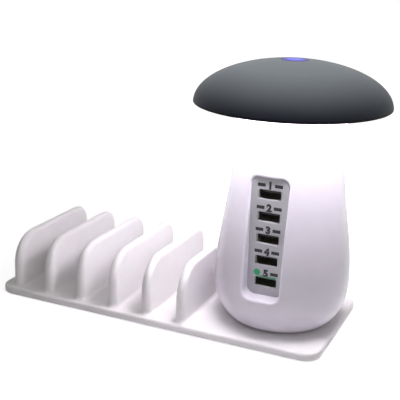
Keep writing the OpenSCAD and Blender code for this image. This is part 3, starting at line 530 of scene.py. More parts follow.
# %% Cap and lens
AXIS_R = 0.0005
CAP_STEPS = 216
CAP_WALL = 2.4
RIM_ROUND = 0.7
REBATE_H = 0.9
NEAR_RIM = 0.9995
OUTSIDE_ROWS = 64
INSIDE_ROWS = 40
LENS_R = 7.5
LENS_T = 4.0
LENS_EDGE = 0.25
LENS_ROWS = 20
LENS_STEPS = 96
HOLE_R = LENS_R + 0.2
HOLE_EDGE = 0.3
# Soft edges of the lens and of the hole, as distances in and down from their corners
LENS_ROUND = np.array([[0.0, 0.35], [0.08, 0.1]])
HOLE_ROUND = np.array([[-0.08, 0.02], [0.0, 0.3]])


def make_cap():
    """Dome with a rounded rim, a plain inside, and a hole with a small round at the top."""
    sine, versine = quarter(ROUND_STEPS)
    inner_r, inner_h = CAP_R - CAP_WALL, CAP_H - CAP_WALL
    rim = np.stack([CAP_R - RIM_ROUND * (1 - sine), RIM_ROUND * versine], 1)
    outside = dome(CAP_R, CAP_H, CAP_R * NEAR_RIM, HOLE_R + HOLE_EDGE, OUTSIDE_ROWS)
    inside = dome(inner_r, inner_h, inner_r * NEAR_RIM, HOLE_R, INSIDE_ROWS)
    rebate, top = CAP_R - CAP_WALL / 2, outside[-1, 1]
    profile = np.concatenate([
        inside[::-1], [[rebate, inside[0, 1] + REBATE_H], [rebate, 0.0]], rim,
        outside[outside[:, 1] > RIM_ROUND], [HOLE_R, top] - HOLE_ROUND, inside[-1:]])
    return make_piece("cap_dome", [turned(profile, TOWER_X, 0, RIM_Z, CAP_STEPS)])


def make_lens():
    """Shallow dome that carries the cap's curve on across the hole, with a soft edge."""
    top = dome(CAP_R, CAP_H, LENS_R - LENS_EDGE, AXIS_R, LENS_ROWS)
    below = [[AXIS_R, CAP_H - LENS_T], [LENS_R, CAP_H - LENS_T]]
    profile = np.concatenate([below, [LENS_R, top[0, 1]] - LENS_ROUND, top])
    return make_piece("lens_dome", [turned(profile, TOWER_X, 0, RIM_Z, LENS_STEPS)])


cap = make_cap()
lens = make_lens()

# %% Feet
FOOT_NUMBERS = range(1, 5)
FOOT_ROUND = 0.6
FOOT_STEPS = 64
# Groove pressed in underneath, as distances out and up
FOOT_GROOVE = np.array([[0.0, 0.0], [0.15, 0.15], [0.5, 0.15], [0.65, 0.0]])


def foot_place(number):
    """Middle, radius, and lowest and highest height of a foot, from the box of its node."""
    low, high = node_box(f"foot_{number}")
    return (*(low[:2] + high[:2]) / 2, (high[0] - low[0]) / 2, low[2], high[2])


def make_foot(number):
    """Rubber button: flat underneath, its lower edge rounded, with a shallow ring pressed in."""
    x, y, r, low, high = foot_place(number)
    sine, versine = quarter(ROUND_STEPS)
    edge = np.stack([r - FOOT_ROUND * (1 - sine), FOOT_ROUND * versine], 1)
    groove = FOOT_GROOVE + [r / 2, 0.0]
    above = [[r, high - low], [AXIS_R, high - low]]
    profile = np.concatenate([[[AXIS_R, 0.0]], groove, edge, above])
    return make_piece(f"rubber_foot_{number}", [turned(profile, x, y, low, FOOT_STEPS)])


feet = [make_foot(number) for number in FOOT_NUMBERS]

# %% [markdown]
# ## The rack
#
# Plate and dividers are one moulding, so they are one skin here too. Bevelled boxes would be
# quicker, but they wouldn't flow into the plate or thin towards the top, as a divider has to so
# that it lets go of the mould. The plate's top is a row of cells, one for each divider. In each
# cell, rings of faces run from the cell's edge in to the divider's foot, curve up through the
# fillet, and climb the divider as slot-shaped loops. Where its large front corner starts to
# turn, the top takes over: half a circle carried along the outline that the divider shows from
# the side. Seen from below, each one is hollow, with a narrow slot in a rib.

# %% Divider outline
DIVIDER_H = 33.8
DIVIDER_FRONT = 4.0
DIVIDER_REAR = 5.5
DIVIDER_FOOT_T = 7.0
DIVIDER_TOP_T = 5.0
DIVIDER_FRONT_R = 19.0
DIVIDER_REAR_R = 11.0
RACK_W = rack_high[1] - rack_low[1]
DIVIDER_LEN = RACK_W - DIVIDER_FRONT - DIVIDER_REAR
DIVIDER_Y = (DIVIDER_FRONT - DIVIDER_REAR) / 2
SPLIT_Z = DIVIDER_H - DIVIDER_FRONT_R
TAPER = (DIVIDER_FOOT_T - DIVIDER_TOP_T) / 2 / DIVIDER_H
FRONT_STEPS, TOP_STEPS, REAR_STEPS, DOWN_STEPS = 12, 13, 10, 5
CELL_UPRIGHT = FRONT_STEPS + TOP_STEPS + REAR_STEPS + DOWN_STEPS


def half_thickness(z):
    """Half the thickness of a divider at a height above the deck, thinner towards the top."""
    return DIVIDER_FOOT_T / 2 - TAPER * z


def divider_ends(inset):
    """Front and rear end of a divider, moved in by an inset."""
    return DIVIDER_Y - DIVIDER_LEN / 2 + inset, DIVIDER_Y + DIVIDER_LEN / 2 - inset


def side_outline(inset):
    """Side view of a divider above its split height, moved in: points (y, z) and normals.

    It runs round the front corner, along the top, round the rear corner and down to the split.
    """
    y0, y1 = divider_ends(inset)
    top, rf, rr = DIVIDER_H - inset, DIVIDER_FRONT_R - inset, DIVIDER_REAR_R - inset
    a = np.linspace(0, math.pi / 2, FRONT_STEPS + 1)
    b = np.linspace(0, math.pi / 2, REAR_STEPS + 1)
    front = np.stack([y0 + rf - rf * np.cos(a), top - rf + rf * np.sin(a)], 1)
    rear = np.stack([y1 - rr + rr * np.sin(b), top - rr + rr * np.cos(b)], 1)
    along = between(front[-1], rear[0], TOP_STEPS)[1:-1]
    down = between(rear[-1], np.array([y1, top - rf]), DOWN_STEPS)[1:]
    normals = np.concatenate([
        np.stack([-np.cos(a), np.sin(a)], 1), np.tile([0.0, 1.0], (TOP_STEPS - 1, 1)),
        np.stack([np.sin(b), np.cos(b)], 1), np.tile([1.0, 0.0], (DOWN_STEPS, 1))])
    return np.concatenate([front, along, rear, down]), normals


print("points in the outline:", len(side_outline(0.0)[0]), "for", CELL_UPRIGHT, "steps")

# %% Divider surface
CELL_ACROSS = 16
FACE_ROWS = 8


def slot_loop(x, half, reach, z):
    """Slot-shaped loop at a height: half circle in front, side, half circle behind, side."""
    y0, y1 = divider_ends(half)
    a = np.pi * (1 + np.arange(CELL_ACROSS) / CELL_ACROSS)
    front = np.stack([reach * np.cos(a), y0 + reach * np.sin(a)], 1)
    rear = np.stack([-reach * np.cos(a), y1 - reach * np.sin(a)], 1)
    right = between(np.array([reach, y0]), np.array([reach, y1]), CELL_UPRIGHT)[:-1]
    left = between(np.array([-reach, y1]), np.array([-reach, y0]), CELL_UPRIGHT)[:-1]
    return raised(np.concatenate([front, right, rear, left]), z + DECK_Z) + [x, 0, 0]


def box_loop(x, half, inset, z):
    """Rectangular loop at a height, with the same steps a side as the slot-shaped one."""
    y0, y1 = divider_ends(inset)
    loop, _ = rounded_loop(-half, half, y0, y1, [0.0] * 4, CELL_ACROSS, CELL_UPRIGHT, 0)
    return raised(loop, z + DECK_Z) + [x, 0, 0]


def crown(x, inset, width, round_edge):
    """Grids of a divider's top part: a section carried along its outline, and its two flat sides.

    The section is half a circle, or flat for the hollow inside. With a taper the half width that
    meets the flat side is h / (1 - taper n), where n is the upward part of the outline's normal.
    """
    points, normals = side_outline(inset)
    h = width(points[:, 1])
    if round_edge:
        h = h / (1 - TAPER * normals[:, 1])
    a = np.linspace(-math.pi / 2, math.pi / 2, CELL_ACROSS + 1)
    aside, inward = (np.sin(a), 1 - np.cos(a)) if round_edge else (a / (math.pi / 2), 0 * a)
    yz = points[None] - normals[None] * (h[None, :] * inward[:, None])[..., None]
    strip = np.stack([x + h[None, :] * aside[:, None], yz[..., 0], yz[..., 1] + DECK_Z], -1)
    grids = [(strip, False)]
    for side in (0, -1):
        upper = strip[side]
        lower = between(upper[0], upper[-1], CELL_UPRIGHT)
        lower[:, 2] = upper[0, 2]
        face = between(lower, upper, FACE_ROWS)
        face[..., 0] = x + (1 if side else -1) * width(face[..., 2] - DECK_Z)
        grids.append((face, False))
    return grids


print("points in a loop round a divider:", len(slot_loop(0.0, 3.0, 3.0, 0.0)))

# %% Rack cells
PLATE_R = 10.0
DIVIDER_COUNT = 6
DIVIDER_PITCH = 23.0
DIVIDER_START = 12.0
END_ACROSS = 30
CELL_ARC = 7
CELL_STEPS = [CELL_ACROSS] * DIVIDER_COUNT + [END_ACROSS]
DIVIDER_X = rack_low[0] + DIVIDER_START + DIVIDER_PITCH * np.arange(DIVIDER_COUNT)
CELL_CUTS = np.concatenate([[rack_low[0]], (DIVIDER_X[1:] + DIVIDER_X[:-1]) / 2,
                            [DIVIDER_X[-1] + DIVIDER_PITCH / 2, rack_high[0]]])


def plate_cells(inset):
    """Loops of the plate's cells, moved in from its edge. The last one has no divider."""
    y0, y1 = rack_low[1] + inset, rack_high[1] - inset
    loops = []
    for k, across in enumerate(CELL_STEPS):
        at_left, at_right = k == 0, k == DIVIDER_COUNT
        left, right = (PLATE_R - inset) * at_left, (PLATE_R - inset) * at_right
        x0, x1 = CELL_CUTS[k] + inset * at_left, CELL_CUTS[k + 1] - inset * at_right
        loops.append(rounded_loop(x0, x1, y0, y1, [left, right, right, left],
                                  across, CELL_UPRIGHT, CELL_ARC))
    return loops


def plate_edge(inset):
    """Points and normals all round the plate, gathered from the outer sides of its cells."""
    loops, m = plate_cells(inset), CELL_UPRIGHT
    gathered = []
    for part in range(2):
        cells = [(loop[part], n) for loop, n in zip(loops, CELL_STEPS)]
        front = [cell[:n] for cell, n in cells]
        right = cells[-1][0][END_ACROSS:END_ACROSS + m]
        back = [cell[n + m:2 * n + m] for cell, n in reversed(cells)]
        left = cells[0][0][2 * CELL_ACROSS + m:]
        gathered.append(np.concatenate(front + [right] + back + [left]))
    return gathered


def end_fill(loop, z):
    """Grid that fills the cell without a divider: each side is blended across to the other."""
    n, m = END_ACROSS, CELL_UPRIGHT
    front, right = loop[:n + 1], loop[n:n + m + 1]
    back = loop[n + m:2 * n + m + 1][::-1]
    left = np.concatenate([loop[2 * n + m:], loop[:1]])[::-1]
    u, v = np.linspace(0, 1, n + 1)[None, :, None], np.linspace(0, 1, m + 1)[:, None, None]
    sides = left[:, None] * (1 - u) + right[:, None] * u + front[None] * (1 - v) + back[None] * v
    blend = (sides - front[0] * (1 - u) * (1 - v) - front[-1] * u * (1 - v)
             - back[0] * (1 - u) * v - back[-1] * u * v)
    return np.concatenate([blend, np.full(blend.shape[:2] + (1,), float(z))], -1), False


print("cuts between the cells of the plate:", CELL_CUTS.round(1))

# %% Rack top
PLATE_EDGE_R = 1.4
DIVIDER_FILLET = 2.5
UNDER_BEVEL = 0.25
FILLET_STEPS = 8
CLIMB_ROWS = 5
EDGE_STEPS = 7


def outer_skin():
    """Grids of the top: cells, fillets, dividers, and the rounded edge down to its lowest loop."""
    f = DIVIDER_FILLET
    sine, versine = quarter(FILLET_STEPS)
    cells = plate_cells(PLATE_EDGE_R)
    grids = []
    for x, (cell, _) in zip(DIVIDER_X, cells):
        fillet = [slot_loop(x, half_thickness(z), half_thickness(z) + f * v, z)
                  for z, v in zip(f * (1 - sine), versine)]
        climb = [slot_loop(x, half_thickness(z), half_thickness(z), z)
                 for z in np.linspace(SPLIT_Z, f, CLIMB_ROWS + 1)[:-1]]
        floor = between(fillet[-1], raised(cell, DECK_Z), FLAT_ROWS)
        grids.append((np.concatenate([climb, fillet, floor[1:]]), True))
        grids += crown(x, 0.0, half_thickness, True)
    grids.append(end_fill(cells[-1][0], DECK_Z))
    edge, out = plate_edge(PLATE_EDGE_R)
    rows = [raised(edge + out * PLATE_EDGE_R * s, DECK_Z - PLATE_EDGE_R * v)
            for s, v in zip(*quarter(EDGE_STEPS))]
    rim = edge + out * PLATE_EDGE_R
    lowest = rim - out * UNDER_BEVEL
    rows += [raised(rim, PLATE_Z + UNDER_BEVEL), raised(lowest, PLATE_Z)]
    grids.append((np.stack(rows), True))
    return grids, lowest


top_grids, under_rim = outer_skin()
print("grids in the rack's top:", len(top_grids))

# %% Hollow underside
SKIRT = 2.4
SKIN = 2.2
CORE_HALF = 1.15
CORE_WALL = 2.6


def core_half(z):
    """Half the width of the hollow inside a divider, the same at every height."""
    return 0 * z + CORE_HALF


def inner_skin(rim):
    """Grids of the rack's underside: skirt, pocket, and the hollow inside each divider."""
    ceiling = DECK_Z - SKIN
    cells = plate_cells(SKIRT)
    edge, _ = plate_edge(SKIRT)
    grids = [(np.stack([raised(rim, PLATE_Z), raised(edge, PLATE_Z), raised(edge, ceiling)]), True),
             end_fill(cells[-1][0], ceiling)]
    for x, (cell, _) in zip(DIVIDER_X, cells):
        walls = [box_loop(x, CORE_HALF, CORE_WALL, z) for z in (SPLIT_Z, -SKIN)]
        floor = between(walls[-1], raised(cell, ceiling), FLAT_ROWS)
        grids.append((np.concatenate([walls, floor[1:]]), True))
        grids += crown(x, CORE_WALL, core_half, False)
    return grids


hollow_grids = inner_skin(under_rim)
print("grids in the hollow underside:", len(hollow_grids))

# %% Ribs, bars and foot seats
SLOT_HALF = 1.0
RIB_HALF = 2.6
BAR_HALF = 0.8
BAR_END = 1.8
BAR_Y = RACK_W / 5
SEAT_GAP = 0.2
SEAT_WALL = 2.0
UNDER_TOP = DECK_Z - SKIN + LET_IN


def closed_block(first, last):
    """Closed block between two loops, with a fan of faces over each."""
    caps = [np.tile(loop.mean(0), (len(loop), 1)) for loop in (first, last)]
    return np.stack([caps[0], first, last, caps[1]]), True


def bar(x0, x1, y0, y1):
    """Closed block under the plate, from its underside to just inside its skin."""
    loop = np.array([[x0, y0], [x1, y0], [x1, y1], [x0, y1]])
    return closed_block(raised(loop, PLATE_Z), raised(loop, UNDER_TOP))


def rib_with_slot(x):
    """Closed rib across the plate, with the narrow slot that leads into a divider."""
    y0, y1 = rack_low[1] + SKIRT - LET_IN, rack_high[1] - SKIRT + LET_IN
    square = [0.0] * 4
    outer, _ = rounded_loop(x - RIB_HALF, x + RIB_HALF, y0, y1, square, 1, 1, 0)
    inner, _ = rounded_loop(x - SLOT_HALF, x + SLOT_HALF, *divider_ends(CORE_WALL), square, 1, 1, 0)
    section = ((inner, PLATE_Z), (outer, PLATE_Z), (outer, UNDER_TOP), (inner, UNDER_TOP),
               (inner, PLATE_Z))
    return np.stack([raised(loop, z) for loop, z in section]), True


def foot_seat(number):
    """Closed round pad with a recess, whose floor is where the foot's top is."""
    x, y, r, _, seat = foot_place(number)
    r, wide = r + SEAT_GAP, r + SEAT_WALL
    return turned([[AXIS_R, seat], [r, seat], [r, PLATE_Z], [wide, PLATE_Z], [wide, UNDER_TOP],
                   [AXIS_R, UNDER_TOP]], x, y, 0.0, FOOT_STEPS)


def underside():
    """Grids of ribs, lengthwise bars and foot seats, each a closed shape let into the skin."""
    grids = [rib_with_slot(x) for x in DIVIDER_X]
    past = SKIRT - LET_IN - BAR_END
    ends = np.concatenate([[rack_low[0] + past], DIVIDER_X, [rack_high[0] - past]])
    for y in (-BAR_Y, BAR_Y):
        grids += [bar(x0 + BAR_END, x1 - BAR_END, y - BAR_HALF, y + BAR_HALF)
                  for x0, x1 in zip(ends[:-1], ends[1:])]
    return grids + [foot_seat(number) for number in FOOT_NUMBERS]


rib_grids = underside()
print("ribs, bars and seats:", len(rib_grids))

# %% Screw ring
SCREW_RING_R0 = 7.0
SCREW_RING_R1 = 17.0
SCREW_PCD_R = 12.0
SCREW_HEAD_R = 2.8
SCREW_HOLE_R = 1.4
SCREW_SINK = 1.6
RACK_SCREW_ANGLES = (90, 210, 330)
HALF_THIRD = 60
STEPS_ROUND = 24
STEPS_IN = 8


def screw_ring():
    """Ring under the tower with a counterbored hole for each of its three screws.

    Each third of the ring is a cell: loops run from its edge in to the screw's hole.
    """
    grids = []
    deep_z = PLATE_Z + SCREW_SINK
    u = np.linspace(-HALF_THIRD, HALF_THIRD, STEPS_ROUND + 1)
    v = np.linspace(SCREW_RING_R0, SCREW_RING_R1, STEPS_IN + 1)
    sides = [(u, 0 * u + v[0]), (0 * v + HALF_THIRD, v),
             (u[::-1], 0 * u + v[-1]), (0 * v - HALF_THIRD, v[::-1])]
    spread, radius = (np.concatenate([side[k][:-1] for side in sides]) for k in (0, 1))
    for angle in RACK_SCREW_ANGLES:
        turn = np.radians(angle + spread)
        cell = np.stack([TOWER_X + radius * np.cos(turn), radius * np.sin(turn)], 1)
        middle = math.radians(angle)
        centre = np.array([TOWER_X + SCREW_PCD_R * math.cos(middle),
                           SCREW_PCD_R * math.sin(middle)])
        first = math.atan2(*(cell[0] - centre)[::-1])
        a = first - 2 * np.pi * np.arange(len(cell)) / len(cell)
        away = np.stack([np.cos(a), np.sin(a)], 1)
        wide, narrow = centre + away * SCREW_HEAD_R, centre + away * SCREW_HOLE_R
        rows = [raised(ring, PLATE_Z) for ring in between(cell, wide, FLAT_ROWS)]
        rows += [raised(wide, deep_z), raised(narrow, deep_z), raised(narrow, UNDER_TOP)]
        rows += [raised(ring, UNDER_TOP) for ring in between(narrow, cell, FLAT_ROWS)[1:]]
        grids.append((np.stack(rows), True))
        for start in (0, STEPS_ROUND + STEPS_IN):
            side = cell[start:start + STEPS_ROUND + 1]
            grids.append((np.stack([raised(side, PLATE_Z), raised(side, UNDER_TOP)]), False))
    return grids


rack = make_piece("rack_moulding", top_grids + hollow_grids + rib_grids + screw_ring(),
                  crisp=50.0)

# %% [markdown]
# ## Marks on the panel
#
# The real panel is printed. Here each socket gets a plain number between two short bars, in the
# same dark ink and about the same size. The fifth gets a round green spot in place of its left
# bar. A thin green line over its mouth is a painted glint of the green tongue inside it. An image
# could carry the print, but a mark with a shape of its own stays sharp from any distance. Ink
# stands a few hundredths of a millimetre proud. A digit is a text object that is turned into a
# mesh before it is put in place, so its object stays at the origin.

# %% Ink
INK_T = 0.04
INK_SUNK = 0.02
INK_STEPS = 10
INK_ARC = 4
DIGIT_SIZE = 5.6
DIGIT_BOLD = 0.38


def ink_block(x, z, half_w, half_h, corner):
    """Closed thin block with rounded corners on the panel's face."""
    loop, _ = rounded_loop(x - half_w, x + half_w, z - half_h, z + half_h, [corner] * 4,
                           INK_STEPS, INK_STEPS, INK_ARC)
    front = faced(loop, PANEL_Y - INK_T)
    return closed_block(front, front + [0, INK_T + INK_SUNK, 0])


def ink_digit(number, z):
    """Text turned into a mesh, then stood up on the panel's face."""
    curve = bpy.data.curves.new(f"digit_{number}", "FONT")
    curve.body = str(number)
    curve.size = DIGIT_SIZE * MM
    curve.align_x = "CENTER"
    curve.offset = DIGIT_BOLD * MM
    curve.extrude = (INK_T + INK_SUNK) / 2 * MM
    text = put(f"digit_{number}_text", curve)
    bpy.context.view_layer.update()
    ready = text.evaluated_get(bpy.context.evaluated_depsgraph_get())
    mesh = bpy.data.meshes.new_from_object(ready)
    bpy.data.objects.remove(text)
    flat = np.empty(3 * len(mesh.vertices), np.float32)
    mesh.vertices.foreach_get("co", flat)
    corners = flat.reshape(-1, 3).astype(float)
    middle = Vector((corners.min(0) + corners.max(0)) / 2)
    place = Vector((TOWER_X, PANEL_Y + (INK_SUNK - INK_T) / 2, z + DECK_Z)) * MM
    upright = Matrix.Rotation(math.pi / 2, 4, "X")
    mesh.transform(Matrix.Translation(place) @ upright @ Matrix.Translation(-middle))
    return put(f"mark_digit_{number}", mesh)


print("ink stands proud by", INK_T, "mm")

# %% Marks
MARK_LIFT = 5.3
INK_ROUND = 0.2
DASH_L = 4.6
DASH_T = 1.9
DASH_X = 5.0
SPOT_R = 2.0
SPOT_X = -5.2
# Green line over the fifth mouth: a painted glint of its green tongue
GLINT_X = 1.0
GLINT_L = 10.4
GLINT_T = 0.8
GLINT_GAP = 0.3

digits, dashes = [], []
for index, port_z in enumerate(PORT_HEIGHTS):
    number, mark_z = PORT_COUNT - index, port_z + MARK_LIFT
    digits.append(ink_digit(number, mark_z))
    sides = (-1, 1) if number < PORT_COUNT else (1,)
    dashes += [ink_block(side * DASH_X, mark_z, DASH_L / 2, DASH_T / 2, INK_ROUND)
               for side in sides]
mark_bars = make_piece("mark_bars", dashes)
# The green line is a painted glint, just over the fifth mouth
glint_z = PORT_Z0 + (MOUTH_H + GLINT_T) / 2 + GLINT_GAP
mark_spot_and_glint = make_piece("mark_spot_and_glint", [
    ink_block(SPOT_X, PORT_Z0 + MARK_LIFT, SPOT_R, SPOT_R, SPOT_R - 0.01),
    ink_block(GLINT_X, glint_z, GLINT_L / 2, GLINT_T / 2, INK_ROUND)])
print("digits:", [digit.name for digit in digits])

# %% [markdown]
# ## Tools for materials
#
# A colour is written as the sRGB hex value that it has on screen, and one function makes it
# linear, which is what the renderer works in. One more function adds a node, with its settings
# and with what feeds it. Patterns read Object coordinates, which are in metres, so a feature of
# so many millimetres has a scale of 1000 divided by its size.

# %% Node tools
def linear(code):
    """Linear from sRGB hex: c / 12.92 where dark, else ((c + 0.055) / 1.055) to the power 2.4."""
    c = np.array([int(code[k:k + 2], 16) for k in (1, 3, 5)]) / 255
    return (*np.where(c <= 0.04045, c / 12.92, ((c + 0.055) / 1.055) ** 2.4), 1.0)


def per_mm(size):
    """Texture scale for a feature of this size in millimetres."""
    return 1.0 / (size * MM)


def add(tree, kind, inputs, **settings):
    """Add a node: settings are its own fields, and inputs say what each socket gets.

    A socket takes a value, a hex colour, an output, or a node, which gives its first output in
    use. Sockets go by their identifiers: the same as their names, except where names repeat.
    """
    made = tree.nodes.new("ShaderNode" + kind)
    for field, value in settings.items():
        setattr(made, field, value)
    sockets = {socket.identifier: socket for socket in made.inputs}
    for key, value in inputs.items():
        if isinstance(value, bpy.types.Node):
            value = next(output for output in value.outputs if output.enabled)
        if isinstance(value, bpy.types.NodeSocket):
            tree.links.new(value, sockets[key])
        else:
            sockets[key].default_value = linear(value) if isinstance(value, str) else value
    return made


def bare_tree(block):
    """Empty node tree of a material or a world."""
    block.use_nodes = True
    block.node_tree.nodes.clear()
    return block.node_tree


def start(name, code):
    """New material with an empty node tree, and its Object coordinates."""
    material = bpy.data.materials.new(name)
    material.diffuse_color = linear(code)
    tree = bare_tree(material)
    return material, tree, add(tree, "TexCoord", {}).outputs["Object"]


def to_axis(z):
    """Move that puts the origin of Object coordinates on the tower's axis at a height."""
    return -TOWER_X * MM, 0.0, -z * MM


def close(tree, sockets):
    """Last two nodes of a material: its shader, with what each socket gets, and the output."""
    add(tree, "OutputMaterial", {"Surface": add(tree, "BsdfPrincipled", sockets)})


print("linear of #808080:", round(float(linear("#808080")[0]), 3))

# %% [markdown]
# ## Moulded plastic and rubber
#
# Almost everything here is injection moulded. What tells one moulding from another is the
# surface of its mould: polished, satin, or spark eroded to an even grain. So one function makes
# them all from two close colours, a range of roughness, and the width and depth of the grain.
# The colours mix in soft patches, as a pigment does where the melt flowed. The finest
# grain is drawn at half a millimetre, coarser than it really is, so that it shows. Two helpers
# do what the other finishes need too: one blends two colours by a noise, and one turns noise
# into what a finger would feel.

# %% Moulded
NOISE_SPAN = (0.3, 0.7)
PATCH_MM = 9.0
SHINE_MM = 3.0


def two_tone(tree, source, first, second, span=NOISE_SPAN):
    """Colour that goes from the first to the second while the source rises through a span."""
    share = add(tree, "MapRange", {"Value": source, "From Min": span[0], "From Max": span[1]})
    return add(tree, "Mix", {"Factor_Float": share, "A_Color": first, "B_Color": second},
               data_type="RGBA")


def feel(tree, wear, rough, grains, depth):
    """Roughness between two limits, from one noise, and relief of a depth in mm, from another."""
    low, high = NOISE_SPAN
    shine = add(tree, "MapRange", {"Value": wear, "From Min": low, "From Max": high,
                                   "To Min": rough[0], "To Max": rough[1]})
    relief = add(tree, "Bump", {"Height": grains, "Distance": depth * MM, "Strength": 1.0})
    return {"Roughness": shine, "Normal": relief}


def moulded(name, first, second, rough, grain, depth, ior, more={}):
    """Two colours in soft patches, roughness between two limits, and a grain given in mm."""
    material, tree, place = start(name, first)
    patches = add(tree, "TexNoise", {"Vector": place, "Scale": per_mm(PATCH_MM), "Detail": 3.0})
    wear = add(tree, "TexNoise", {"Vector": place, "Scale": per_mm(SHINE_MM), "Detail": 2.0})
    grains = add(tree, "TexNoise", {"Vector": place, "Scale": per_mm(grain), "Detail": 2.0})
    close(tree, {"Base Color": two_tone(tree, patches, first, second), "IOR": ior,
                 **feel(tree, wear, rough, grains, depth), **more})
    return material


# ABS from a polished mould: glossy, so that lamps and plate show in it as soft pale bands
TOWER_ABS = moulded("ABS, polished mould, white", "#EEEAF5", "#EBE7F2", (0.17, 0.23),
                    0.5, 0.0010, 1.54)
# ABS from a satin mould: the same white, but its sheen is wider and weaker
RACK_ABS = moulded("ABS, satin mould, white", "#F2F0F1", "#EFEDEE", (0.38, 0.46), 0.5, 0.003, 1.54,
                   {"Specular IOR Level": 0.3})
# ABS from a plain mould, for what nobody sees in use: flat and slightly warm
COVER_ABS = moulded("ABS, plain mould, off-white", "#E2E1E0", "#DEDDDC", (0.45, 0.55),
                    0.5, 0.004, 1.54)
# Nylon that holds the contacts: black, or green in the fast socket, with a waxy half sheen
BLACK_NYLON = moulded("nylon, moulded, black", "#141416", "#1A1A1C", (0.45, 0.60), 0.3, 0.004, 1.53)
GREEN_NYLON = moulded("nylon, moulded, green", "#0D4427", "#0B3D22", (0.40, 0.55), 0.3, 0.004, 1.53)
# Filled thermoset of the mains inlet and the chips' bodies: hard, black and dusty
THERMOSET = moulded("thermoset, moulded, black", "#1B1B1C", "#202021", (0.40, 0.55),
                    0.4, 0.006, 1.60)
# Rubber pressed in a hot mould: dark grey, with hardly any sheen
RUBBER = moulded("rubber, press moulded, dark grey", "#3B3B3D", "#333335", (0.75, 0.90),
                 0.6, 0.03, 1.52)
print("moulded:", [m.name for m in (TOWER_ABS, RACK_ABS, COVER_ABS, RUBBER)])

# %% [markdown]
# ## The cap's coat and its painted shade
#
# The cap is the only coloured moulding: ABS with a matt dark grey coat. Its colour is painted
# darker towards the rim, nearly black along the edge, and mid grey up the dome: this is painted
# shade, for light that falls from above. So two ramps read the height above the rim: a long
# straight one for the dome and a short one for the edge. Paint from a brush or an image would
# need the cap unwrapped, while a height is there on any shape. A spray coat is fine grained and
# scatters light, so the sheen is weak.

# %% Cap coat with painted shade
# Heights over which the colour is painted darker down the dome and at its edge, as painted shade
DOME_SHADE_MM = (0.5, 21.0)
RIM_SHADE_MM = (0.9, 1.8)
SPRAY_MM = 0.5


def cap_coat(name, edge, low, high):
    """Painted shade by height: a long ramp darkens the dome towards the rim, a short one its edge.
    """
    material, tree, place = start(name, high)
    middle = add(tree, "Mapping", {"Vector": place, "Location": to_axis(RIM_Z)})
    height = add(tree, "SeparateXYZ", {"Vector": middle}).outputs["Z"]
    dome_shade_span, rim_shade_span = ([limit * MM for limit in span] for span in (DOME_SHADE_MM, RIM_SHADE_MM))
    dome_shaded_grey = two_tone(tree, height, low, high, dome_shade_span)
    grains = add(tree, "TexNoise", {"Vector": place, "Scale": per_mm(SPRAY_MM), "Detail": 2.0})
    close(tree, {"Base Color": two_tone(tree, height, edge, dome_shaded_grey, rim_shade_span), "IOR": 1.50,
                 "Specular IOR Level": 0.12, **feel(tree, grains, (0.48, 0.56), grains, 0.008)})
    return material


# ABS sprayed with a matt coat: a soft dark grey that hardly shines, with shade painted darker to
# the rim and nearly black at its edge
CAP_COAT_SHADED = cap_coat("ABS, matt dark grey spray, painted shade at rim", "#060609", "#0F1425", "#83898F")
print("painted shade fades out from", DOME_SHADE_MM[0], "to", DOME_SHADE_MM[1], "mm above the rim")

# %% [markdown]
# ## Small electrical parts
#
# Sleeves, tape, resin and cast parts sit inside the tower. Their surfaces differ in the same few
# ways as the mouldings do, so the same function serves, with each part's own colours and grain.

# %% Electrical parts
# Polyester sleeve shrunk over the capacitor: navy, glossy, slightly dimpled
SLEEVE = moulded("polyester sleeve, shrunk, navy", "#1B2450", "#182048", (0.29, 0.36),
                 1.5, 0.02, 1.64)
# Ferrite is pressed powder, fired: charcoal and matt, like fine stone
FERRITE = moulded("ferrite, pressed and fired", "#3A3A3C", "#303032", (0.60, 0.75), 0.3, 0.02, 2.00)
# Polyester tape wound over the bobbin: yellow and shiny, with the wire's turns faintly felt
TAPE = moulded("polyester tape, wound, yellow", "#D8A62B", "#CE9B22", (0.30, 0.40), 1.2, 0.03, 1.64)
# Drawn glass tube: pale, clear and sharp in its highlights
GLASS = moulded("glass tube, drawn, clear", "#E9EBE6", "#E3E6E0", (0.04, 0.08), 2.0, 0.001, 1.52,
                {"Transmission Weight": 0.7})
# Silicone filled with phosphor over each light chip: soft yellow
PHOSPHOR = moulded("silicone with phosphor, cast", "#E9D98A", "#E2D07A", (0.35, 0.45),
                   0.2, 0.004, 1.41)
# Cast resin body of the small light: clear blue and glossy
BLUE_RESIN = moulded("epoxy resin, cast, blue", "#5A62E8", "#4F57DC", (0.12, 0.20),
                     0.5, 0.002, 1.55)
# PVC extruded over wire: red or black, smooth along its length
RED_PVC = moulded("PVC sleeve, extruded, red", "#A81E22", "#9B1A1E", (0.30, 0.42), 0.6, 0.004, 1.54)
BLACK_PVC = moulded("PVC sleeve, extruded, black", "#1A1A1B", "#202022", (0.32, 0.44),
                    0.6, 0.004, 1.54)
print("electrical:", [m.name for m in (SLEEVE, FERRITE, TAPE, GLASS)])

# %% [markdown]
# ## Painted panel and ink
#
# The port panel is a polycarbonate plate sprayed silver grey. The paint holds fine metal flakes,
# which make it glitter a little and give it a soft metallic sheen. Screen-printed ink lies
# on it in a thin, slightly uneven film. Both are noises at the size of what they stand for, and
# the flakes are drawn coarser than they are, so that they show.

# %% Sprayed and printed
FLAKE_MM = 0.25
FLAKE_SPAN = (0.35, 0.65)
ORANGE_PEEL_MM = 0.6
FILM_MM = 0.35


def sprayed(name, dark, bright, metal):
    """Paint with flakes: fine noise chooses between two greys, coarser noise is its orange peel."""
    material, tree, place = start(name, bright)
    flakes = add(tree, "TexNoise", {"Vector": place, "Scale": per_mm(FLAKE_MM), "Detail": 1.0})
    peel = add(tree, "TexNoise", {"Vector": place, "Scale": per_mm(ORANGE_PEEL_MM), "Detail": 1.0})
    close(tree, {"Base Color": two_tone(tree, flakes, dark, bright, FLAKE_SPAN), "Metallic": metal,
                 **feel(tree, peel, (0.36, 0.46), peel, 0.004)})
    return material


